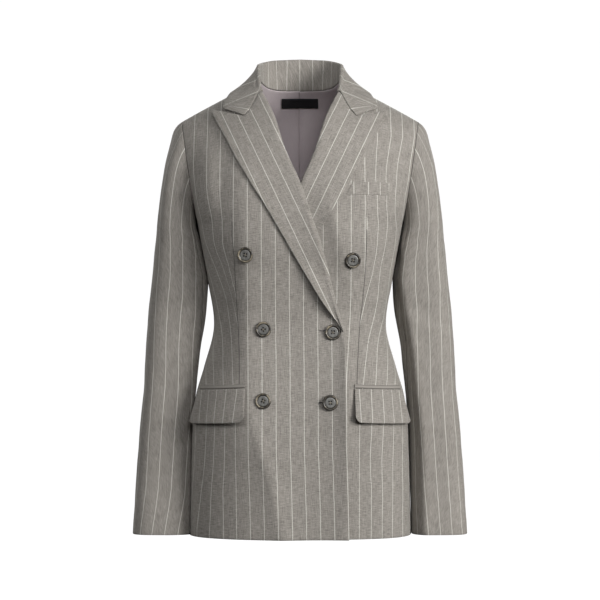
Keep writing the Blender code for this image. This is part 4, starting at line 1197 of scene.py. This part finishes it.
def collar_lines(share):
    """The neck seam, the fold and the outer edge, from the centre back to the gorge."""
    rows = COLLAR_BACK + COLLAR_FRONT
    faces = [BACK] * len(COLLAR_BACK) + [FRONT] * len(COLLAR_FRONT)
    neck, edge = [], []
    for row, face in zip(rows, faces):
        turn, height = find(face, [row.neck, row.edge], [row.neck_z, row.edge_z])
        at, normal = trunk(face, turn, height), trunk_normal(face, turn, height)
        neck.append(at[0] + normal[0] * (COLLAR_RADIUS if face == FRONT else 0))
        edge.append(at[1] + normal[1] * (COLLAR_REST + CLOTH))
    fold = [(row.fold_x, row.fold_y, row.fold_z) for row in rows]
    at = share * (len(rows) - 1)
    for line in (neck, fold, edge):
        curves = [smooth(range(len(rows)), values) for values in np.array(line, float).T]
        yield np.stack([curve(at) for curve in curves], -1)


def make_collar():
    share = np.concatenate([np.linspace(0, 1 - EDGE_STEP / HALF_COLLAR, COLLAR_ROWS), [1]])
    neck, fold, edge = collar_lines(share)
    reach = COLLAR_RADIUS + CLOTH
    tangent = unit(np.gradient(fold, share, axis=0))
    tangent[0] = (1, 0, 0)
    rise = fold - neck
    rise = unit(rise - tangent * (rise * tangent).sum(-1, keepdims=True))
    outward = np.cross(rise, tangent)
    angles = FOLD_ANGLES[:, None]
    turned = rise[:, None] * np.sin(angles) - outward[:, None] * np.cos(angles)
    roll = (fold - rise * reach)[:, None] + turned * reach
    foot = neck + rise * COLLAR_SEAM - outward * reach
    up, down = np.array(STAND_STEPS)[:, None], np.array(FALL_STEPS)[:, None]
    stand = foot[:, None] * (1 - up) + roll[:, :1] * up
    fall = roll[:, -1:] * (1 - down) + edge[:, None] * down
    fall += outward[:, None] * COLLAR_BULGE * np.sin(np.pi * down)
    gorge = on_front("left", *np.array(GORGE).T, np.full(len(GORGE), COLLAR_REST + CLOTH))
    targets = np.array([roll[-1, -1], *gorge, edge[-1]])
    end = np.stack([np.interp(FALL_STEPS, GORGE_STEPS, values) for values in targets.T], -1)
    fall += (end - fall[-1]) * smooth_step(share, GORGE_REACH, 1)[:, None, None]
    fall = clear_of_trunk(fall, COLLAR_REST + CLOTH)
    half = np.concatenate([stand, roll, fall], axis=1)
    whole = np.concatenate([half[:0:-1] * (-1, 1, 1), half])
    normal = grid_normals(whole)
    middle, crest = len(share) - 1, len(STAND_STEPS) + len(FOLD_ANGLES) // 2
    normal *= np.sign(normal[middle, crest, 2])
    run = arc(whole[:, len(STAND_STEPS) + len(FOLD_ANGLES) + 1], 0)
    stripes = collar_stripes(half, run[middle:] - run[middle], share, fold[:, 2])
    stripes = np.concatenate([-stripes[:0:-1], stripes])
    made = shell("cloth_collar", "left", whole, normal, stripes)
    finish_sheet("collar")


# --- Pockets ---
FLAP_INNER, FLAP_OUTER, POCKET_HALF_WIDTH = 79.0, 150.0, 154.0
FLAP_TOP, FLAP_DROP = -459.5, 49.0
JET_TOP, JET_FOOT = -453.0, -458.5
JET_REST, JET_BULGE, FLAP_REST, WELT_REST = 0.05, 0.9, 0.7, 0.05
POCKET_SLOPE = -0.045
JET_THICKNESS, WELT_THICKNESS = 0.6, 0.45
FLAP_CORNER, FLAP_OUTER_CORNER = 9.0, 4.0
FLAP_FLARE, FLAP_CURL, FLARE_POWER, CURL_POWER, CORNER_POWER = 5.2, 2.6, 1.5, 4, 4
JET_COLUMNS, JET_ROWS, FLAP_COLUMNS, FLAP_ROWS = 36, 9, 46, 24
POCKET_LENGTH, FLAP_LENGTH = 90.0, 50.0


def pocket_own(share, z):
    """Own along a pocket, reaching round the side where the trunk is narrower."""
    return FLAP_INNER + (HALF_WIDTH(z) * FLAP_OUTER / POCKET_HALF_WIDTH - FLAP_INNER) * share


def make_patch(name, side, own, z, rest, thickness, stripes, **looks):
    """A sheet on a front. stripes gives the stripe at own and z, as it is seen."""
    under, shown = (on_front(side, own, z, rest + more) for more in (0, thickness))
    normal = unit(shown - under)
    across = stripes(shown[..., 0], shown[..., 2])
    return shell(f"cloth_{name}", side, shown, normal, across, thickness=thickness, **looks)


def pocket_line(own):
    return POCKET_SLOPE * (own - FLAP_INNER)


def make_jet(side):
    share, down = np.meshgrid(spaced(JET_COLUMNS, POCKET_LENGTH), np.linspace(0, 1, JET_ROWS))
    z = JET_TOP + (JET_FOOT - JET_TOP) * down
    own = pocket_own(share, z)
    rest = JET_REST + JET_BULGE * np.sin(np.pi * down)
    # The jet gets painted shade lines along its top and its foot, through its distance from them.
    edge = (JET_TOP - JET_FOOT) * np.minimum(down, 1 - down)
    place = f"pocket_jet_{side}", side, own, z + pocket_line(own), rest, JET_THICKNESS
    made = make_patch(*place, lambda own, z: np.full_like(own, 0.5), seam=edge)
    finish_sheet(f"pocket_jet_{side}")


def corner_rise(distance, radius):
    """How far a rounded corner rises at this distance from the end of an edge."""
    return radius - np.sqrt(radius**2 - np.clip(radius - distance, 0, radius) ** 2)


def make_flap(side):
    share, down = spaced(FLAP_COLUMNS, POCKET_LENGTH), spaced(FLAP_ROWS, FLAP_LENGTH)[:, None]
    length = FLAP_OUTER - FLAP_INNER
    rounding = corner_rise(share * length, FLAP_CORNER)
    rounding += corner_rise((1 - share) * length, FLAP_OUTER_CORNER)
    z = FLAP_TOP - FLAP_DROP * down + rounding * down**CORNER_POWER
    own = pocket_own(share, z)
    rest = FLAP_REST + FLAP_FLARE * down**FLARE_POWER + FLAP_CURL * (1 - share) ** CURL_POWER * down

    def stripes(own, z):
        return between(FLAP_STRIPES[side], own, z - pocket_line(own))

    z = z + pocket_line(own)
    made = make_patch(f"pocket_flap_{side}", side, own, z, rest, CLOTH, stripes)
    finish_sheet(f"pocket_flap_{side}")


WELT_COLUMNS, WELT_ROWS, WELT_LENGTH, WELT_DEPTH = 28, 9, 58.0, 19.0
WELT_TOP = table("own z", (76.5, -158.0), (131.5, -158.6))
WELT_FOOT = table("own z", (67.5, -176.8), (128.6, -177.2))
WELT_STRIPES = table(
    "z own",
    (-180, (78.6, 100.1, 117.3, 130.1)), (-155, (78.6, 100.1, 117.3, 130.1)),
)


def make_chest_welt():
    share = spaced(WELT_COLUMNS, WELT_LENGTH)[:, None]
    down = spaced(WELT_ROWS, WELT_DEPTH)[:, None, None]
    lines = [np.array(line) for line in (WELT_TOP, WELT_FOOT)]
    top, foot = (line[0] * (1 - share) + line[1] * share for line in lines)
    grid = top * (1 - down) + foot * down
    own, z = grid[..., 0], grid[..., 1]
    place = "chest_welt", "left", own, z, np.full(own.shape, WELT_REST), WELT_THICKNESS
    made = make_patch(*place, lambda own, z: between(WELT_STRIPES, own, z))
    finish_sheet("chest_welt")


# --- Lining and label ---
LINING_GAP, LINING_THICKNESS = 1.2, 1.0
LINING_HEM, LINING_TOP, LINING_END = -655.0, 3.6, 0.97
PLEAT_DEPTH, PLEAT_WIDTH, PLEAT_OVERLAP = 1.3, 12.0, 2.0
LABEL_HALF_WIDTH, LABEL_TOP, LABEL_FOOT = 29.0, -19.0, -33.5
LABEL_REST, LABEL_THICKNESS, LABEL_COLUMNS, LABEL_ROWS = 2.7, 0.7, 31, 9
LINING_COLUMNS, LINING_PITCH, LINING_WIDTH, LINING_CLEAR = 40, 5.0, 230.0, 0.35
LINING_WAVE, WAVE_ACROSS, WAVE_ALONG, WAVE_SHIFT, WAVE_FADE = 0.5, 1.3, 0.8, 100, 12


def make_lining(side):
    turn = spaced(LINING_COLUMNS, LINING_WIDTH) * LINING_END
    levels = np.maximum(row_heights(LINING_PITCH), LINING_HEM)
    levels = levels[np.searchsorted(levels, LINING_HEM, side="right") - 1 :]
    height, turn = np.meshgrid(levels, turn, indexing="ij")
    height = squeezed(height, turn, LINING_TOP)
    at, normal = trunk(BACK, turn, height), trunk_normal(BACK, turn, height)
    own, z = at[..., 0], at[..., 2]
    wave = ripples(own * WAVE_ACROSS, z * WAVE_ALONG + WAVE_SHIFT * SIDES[side])
    wave = LINING_WAVE * np.abs(wave) * smooth_step(own, 0, WAVE_FADE)
    depth = CLOTH + LINING_GAP + LINING_THICKNESS + LINING_CLEAR + wave
    if side == "left":
        depth = depth + PLEAT_DEPTH * (1 - smooth_step(own, 0, PLEAT_WIDTH))
    sheet = at - normal * depth[..., None]
    sheet[:, 0, 0] = -PLEAT_OVERLAP if side == "left" else GAP / 2
    stripes = arc(sheet, 1) / STRIPE
    looks = {"thickness": LINING_THICKNESS, "materials": ("lining", "lining")}
    made = shell(f"cloth_lining_{side}", side, sheet, -normal, stripes, **looks)
    finish_sheet(f"lining_{side}")


def make_label():
    across = np.linspace(-LABEL_HALF_WIDTH, LABEL_HALF_WIDTH, LABEL_COLUMNS)
    own, z = np.meshgrid(across, np.linspace(LABEL_TOP, LABEL_FOOT, LABEL_ROWS))
    turn, height = find(BACK, own, z)
    at, normal = trunk(BACK, turn, height), trunk_normal(BACK, turn, height)
    sheet = at - normal * (CLOTH + LINING_GAP + LINING_THICKNESS + LABEL_REST)
    looks = {"thickness": LABEL_THICKNESS, "materials": ("label", "label")}
    made = shell("cloth_label", "left", sheet, -normal, own / STRIPE, **looks)
    finish_sheet("label")


# --- Buttons ---
BUTTONS = table(
    "name side own z turn",
    ("button_top_right", "right", 76.8, -262.7, 12),
    ("button_top_left", "left", 76.4, -271.9, -8),
    ("button_middle_right", "right", 52.0, -373.3, 40),
    ("button_middle_left", "right", -46.8, -377.7, 3),
    ("button_bottom_right", "right", 53.0, -477.1, 25),
    ("button_bottom_left", "right", -43.6, -479.4, -3),
)
BUTTON_PROFILE = table(
    "radius height",
    (9.6, 0.0), (10.9, 0.4), (11.5, 1.3), (11.5, 2.2), (11.1, 3.0), (10.3, 3.5), (9.3, 3.4),
    (8.5, 2.8), (8.0, 2.1), (7.6, 1.9), (7.2, 2.2), (6.0, 2.2), (4.6, 2.1),
)
BUTTON_SEGMENTS, HOLE_SEGMENTS = 64, 16
SHANK, HOLE_RADIUS, HOLE_OFFSET, HOLE_LIP, HOLE_FLOOR = 1.3, 1.25, 1.8, 0.12, 0.4
# The walls and the rim of a hole get painted shade, as dark as the button's side: their `ring` is
# set far past the rim.
THREAD_RADIUS, THREAD_CROSSING, HOLE_SHADE_RING, SHARP = 0.22, 0.3, 20.0, np.radians(50)
FACING_SHARE = 0.5


def button_frame(place):
    """A button's middle, and its directions across, up and out."""
    own, z = np.array(place.own), np.array(place.z)
    centre = on_front(place.side, own, z, np.array(SHANK))
    normal = trunk_normal(FRONT, *find(FRONT, own, z))
    normal = unit(normal * (1 - FACING_SHARE) + FORWARD * FACING_SHARE)
    across = unit(np.cross(UP, normal))
    above = np.cross(normal, across)
    spin = np.radians(place.turn)
    turned = across * np.cos(spin) + above * np.sin(spin)
    return centre, turned, np.cross(normal, turned), normal


def pairs(ring):
    return zip(ring, ring[1:] + ring[:1])


def join(bm, lower, upper):
    """Faces between two rings of points."""
    for (a, b), (d, c) in zip(pairs(lower), pairs(upper)):
        bm.faces.new((a, b, c, d))


def make_button(place):
    centre, across, above, normal = button_frame(place)
    bm = bmesh.new()
    ring = bm.verts.layers.float.new("ring")

    def loop(x, y, radius, height, segments):
        angles = np.arange(segments) * 2 * np.pi / segments
        flat = (x + radius * np.cos(angles))[:, None] * across
        flat = flat + (y + radius * np.sin(angles))[:, None] * above
        points = mirror(centre + flat + normal * height, place.side)
        verts = [bm.verts.new(point * MM) for point in points]
        for vert in verts:
            # The loops at a hole's radius take painted shade; the lip loop keeps the dish's colour.
            vert[ring] = radius if not x else HOLE_OFFSET if radius > HOLE_RADIUS else HOLE_SHADE_RING
        return verts, [bm.edges.new(pair) for pair in pairs(verts)]

    rings = [loop(0, 0, *row, BUTTON_SEGMENTS) for row in BUTTON_PROFILE]
    for lower, upper in zip(rings, rings[1:]):
        join(bm, lower[0], upper[0])
    dish, (_, dish_edges) = BUTTON_PROFILE[-1].height, rings[-1]
    for x in (-HOLE_OFFSET, HOLE_OFFSET):
        for y in (-HOLE_OFFSET, HOLE_OFFSET):
            foot, _ = loop(x, y, HOLE_RADIUS, HOLE_FLOOR, HOLE_SEGMENTS)
            top, _ = loop(x, y, HOLE_RADIUS, dish, HOLE_SEGMENTS)
            lip, lip_edges = loop(x, y, HOLE_RADIUS + HOLE_LIP, dish, HOLE_SEGMENTS)
            join(bm, foot, top)
            join(bm, top, lip)
            bm.faces.new(foot)
            dish_edges += lip_edges
    for edges in (rings[0][1], dish_edges):
        bmesh.ops.triangle_fill(bm, edges=edges, use_beauty=True)
    mesh = finish_mesh(bm, f"horn_{place.name}", "horn")
    mesh.set_sharp_from_angle(angle=SHARP)
    made = add_object(mesh.name, mesh)
    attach(made, "root")
    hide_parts(place.name)
    make_stitches(place)


# A tube's first direction across is square to this, which no path runs along.
TUBE_SIDE, TUBE_SEGMENTS = (0.31, 0.87, 0.38), 8


def tube(name, paths, radius, material):
    """Closed round tubes through lists of points."""
    bm = bmesh.new()
    angles = np.arange(TUBE_SEGMENTS)[:, None] * 2 * np.pi / TUBE_SEGMENTS
    for path in paths:
        tangent = unit(np.gradient(path, axis=0))
        side = unit(np.cross(tangent, TUBE_SIDE))
        rings = []
        for at, a, b in zip(path, side, np.cross(tangent, side)):
            points = at + radius * (np.cos(angles) * a + np.sin(angles) * b)
            rings.append([bm.verts.new(point * MM) for point in points])
        for lower, upper in zip(rings, rings[1:]):
            join(bm, lower, upper)
        bm.faces.new(rings[0][::-1])
        bm.faces.new(rings[-1])
    made = add_object(name, finish_mesh(bm, name, material))
    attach(made, "root")


# Half of a run of thread: how far out it is, in holes' offsets, and how high.
THREAD_BEND = ((0.62, 0.9), (0.6, 1.9), (0.42, 2.4))


def make_stitches(place):
    """Two runs of thread that cross over the button, each down through a pair of its holes."""
    centre, across, above, normal = button_frame(place)
    half = np.array(THREAD_BEND)
    bend = np.concatenate([half * (-1, 1), [(0, 2.6)], half[::-1]])
    paths = []
    for turn, high in ((1, 0), (-1, THREAD_CROSSING)):
        flat = bend[:, :1] * HOLE_OFFSET * (above + turn * across)
        paths.append(mirror(centre + flat + (bend[:, 1:] + high) * normal, place.side))
    tube(f"thread_{place.name}", paths, THREAD_RADIUS, "thread")


BAR_RADIUS, BAR_SPREAD, BAR_REST, BAR_POINTS = 0.4, 0.42, 0.15, 12
BUTTONHOLES = table(
    "button start end z",
    ("middle", -28.0, -46.0, -375.4), ("bottom", -27.0, -43.0, -479.2),
)


def make_buttonhole(place):
    """The bar of stitches that shows beside a fastened button."""
    own, rest = np.linspace(place.start, place.end, BAR_POINTS), np.full(BAR_POINTS, BAR_REST)
    levels = (np.full(BAR_POINTS, place.z + up) for up in (-BAR_SPREAD, BAR_SPREAD))
    paths = [mirror(on_front("right", own, z, rest), "right") for z in levels]
    tube(f"buttonhole_{place.button}", paths, BAR_RADIUS, "gimp")


for side in SIDES:
    make_front(side)
    make_back(side)
    make_sleeves(side)
    make_lapel(side)
    make_jet(side)
    make_flap(side)
    make_lining(side)
make_collar()
make_chest_welt()
make_label()
for place in BUTTONS:
    make_button(place)
for place in BUTTONHOLES:
    make_buttonhole(place)

# --- Floor, light and camera ---
FLOOR, STUDIO, FLOOR_SHARE, FLOOR_SEGMENTS, STUDIO_GLOW = -0.9, 30.0, 0.9, 64, 1.02
LIT_Z, LAMP_AWAY, WORLD_GLOW, WHITE = -0.33, 3.2, 0.04, (1, 1, 1)
LENS, SENSOR, CAMERA = 160.0, 36.0, (0.0, -4.0, -0.330)
# `side` is in degrees round from the camera, `above` in degrees up and `size` in metres.
LAMPS = table(
    "name side above size power colour",
    ("key", 46, 14, 1.4, 108, (1.0, 0.99, 0.97)), ("front", 10, 26, 1.4, 30, WHITE),
    ("fill", -66, 20, 1.6, 25, WHITE), ("back", 170, 20, 1.6, 62, WHITE),
    ("back_side", -145, 15, 1.6, 26, WHITE),
)


def make_studio():
    """A white floor and a white dome far off. They show, and leave the light to the lamps."""
    bm = bmesh.new()
    bmesh.ops.create_icosphere(bm, subdivisions=4, radius=STUDIO)
    radius = STUDIO * FLOOR_SHARE
    bmesh.ops.create_circle(bm, cap_ends=True, segments=FLOOR_SEGMENTS, radius=radius)
    bm.verts.ensure_lookup_table()
    for vert in bm.verts[-FLOOR_SEGMENTS:]:
        vert.co.z = FLOOR
    mesh = bpy.data.meshes.new("floor")
    bm.to_mesh(mesh)
    bm.free()
    looks = {"Base Color": (0, 0, 0, 1), "Roughness": 1.0}
    looks |= {"Emission Color": (1, 1, 1, 1), "Emission Strength": STUDIO_GLOW}
    mesh.materials.append(Look("studio").finish(looks))
    floor = add_object("floor", mesh)
    floor.visible_diffuse = floor.visible_glossy = floor.visible_shadow = False
    floor.visible_transmission = False


def make_softbox(row):
    """A round soft lamp that shines on the coat's middle."""
    lamp = bpy.data.lights.new(row.name, "AREA")
    lamp.shape, lamp.size, lamp.energy, lamp.color = "DISK", row.size, row.power, row.colour
    side, up = np.radians(row.side), np.radians(row.above)
    towards = Vector((np.sin(side) * np.cos(up), -np.cos(side) * np.cos(up), np.sin(up)))
    made = add_object(row.name, lamp)
    made.location = Vector((0, 0, LIT_Z)) + towards * LAMP_AWAY
    made.rotation_euler = towards.to_track_quat("Z", "Y").to_euler()


def make_camera():
    data = bpy.data.cameras.new("camera")
    data.lens, data.sensor_width = LENS, SENSOR
    camera = add_object("camera", data)
    camera.location = CAMERA
    camera.rotation_euler = (np.pi / 2, 0.0, 0.0)
    bpy.context.scene.camera = camera


make_studio()
for row in LAMPS:
    make_softbox(row)
make_camera()
scene = bpy.context.scene
scene.view_settings.view_transform = "Standard"
scene.world = bpy.data.worlds.new("studio")
scene.world.use_nodes = True
background = scene.world.node_tree.nodes["Background"]
background.inputs["Color"].default_value = (1, 1, 1, 1)
background.inputs["Strength"].default_value = WORLD_GLOW
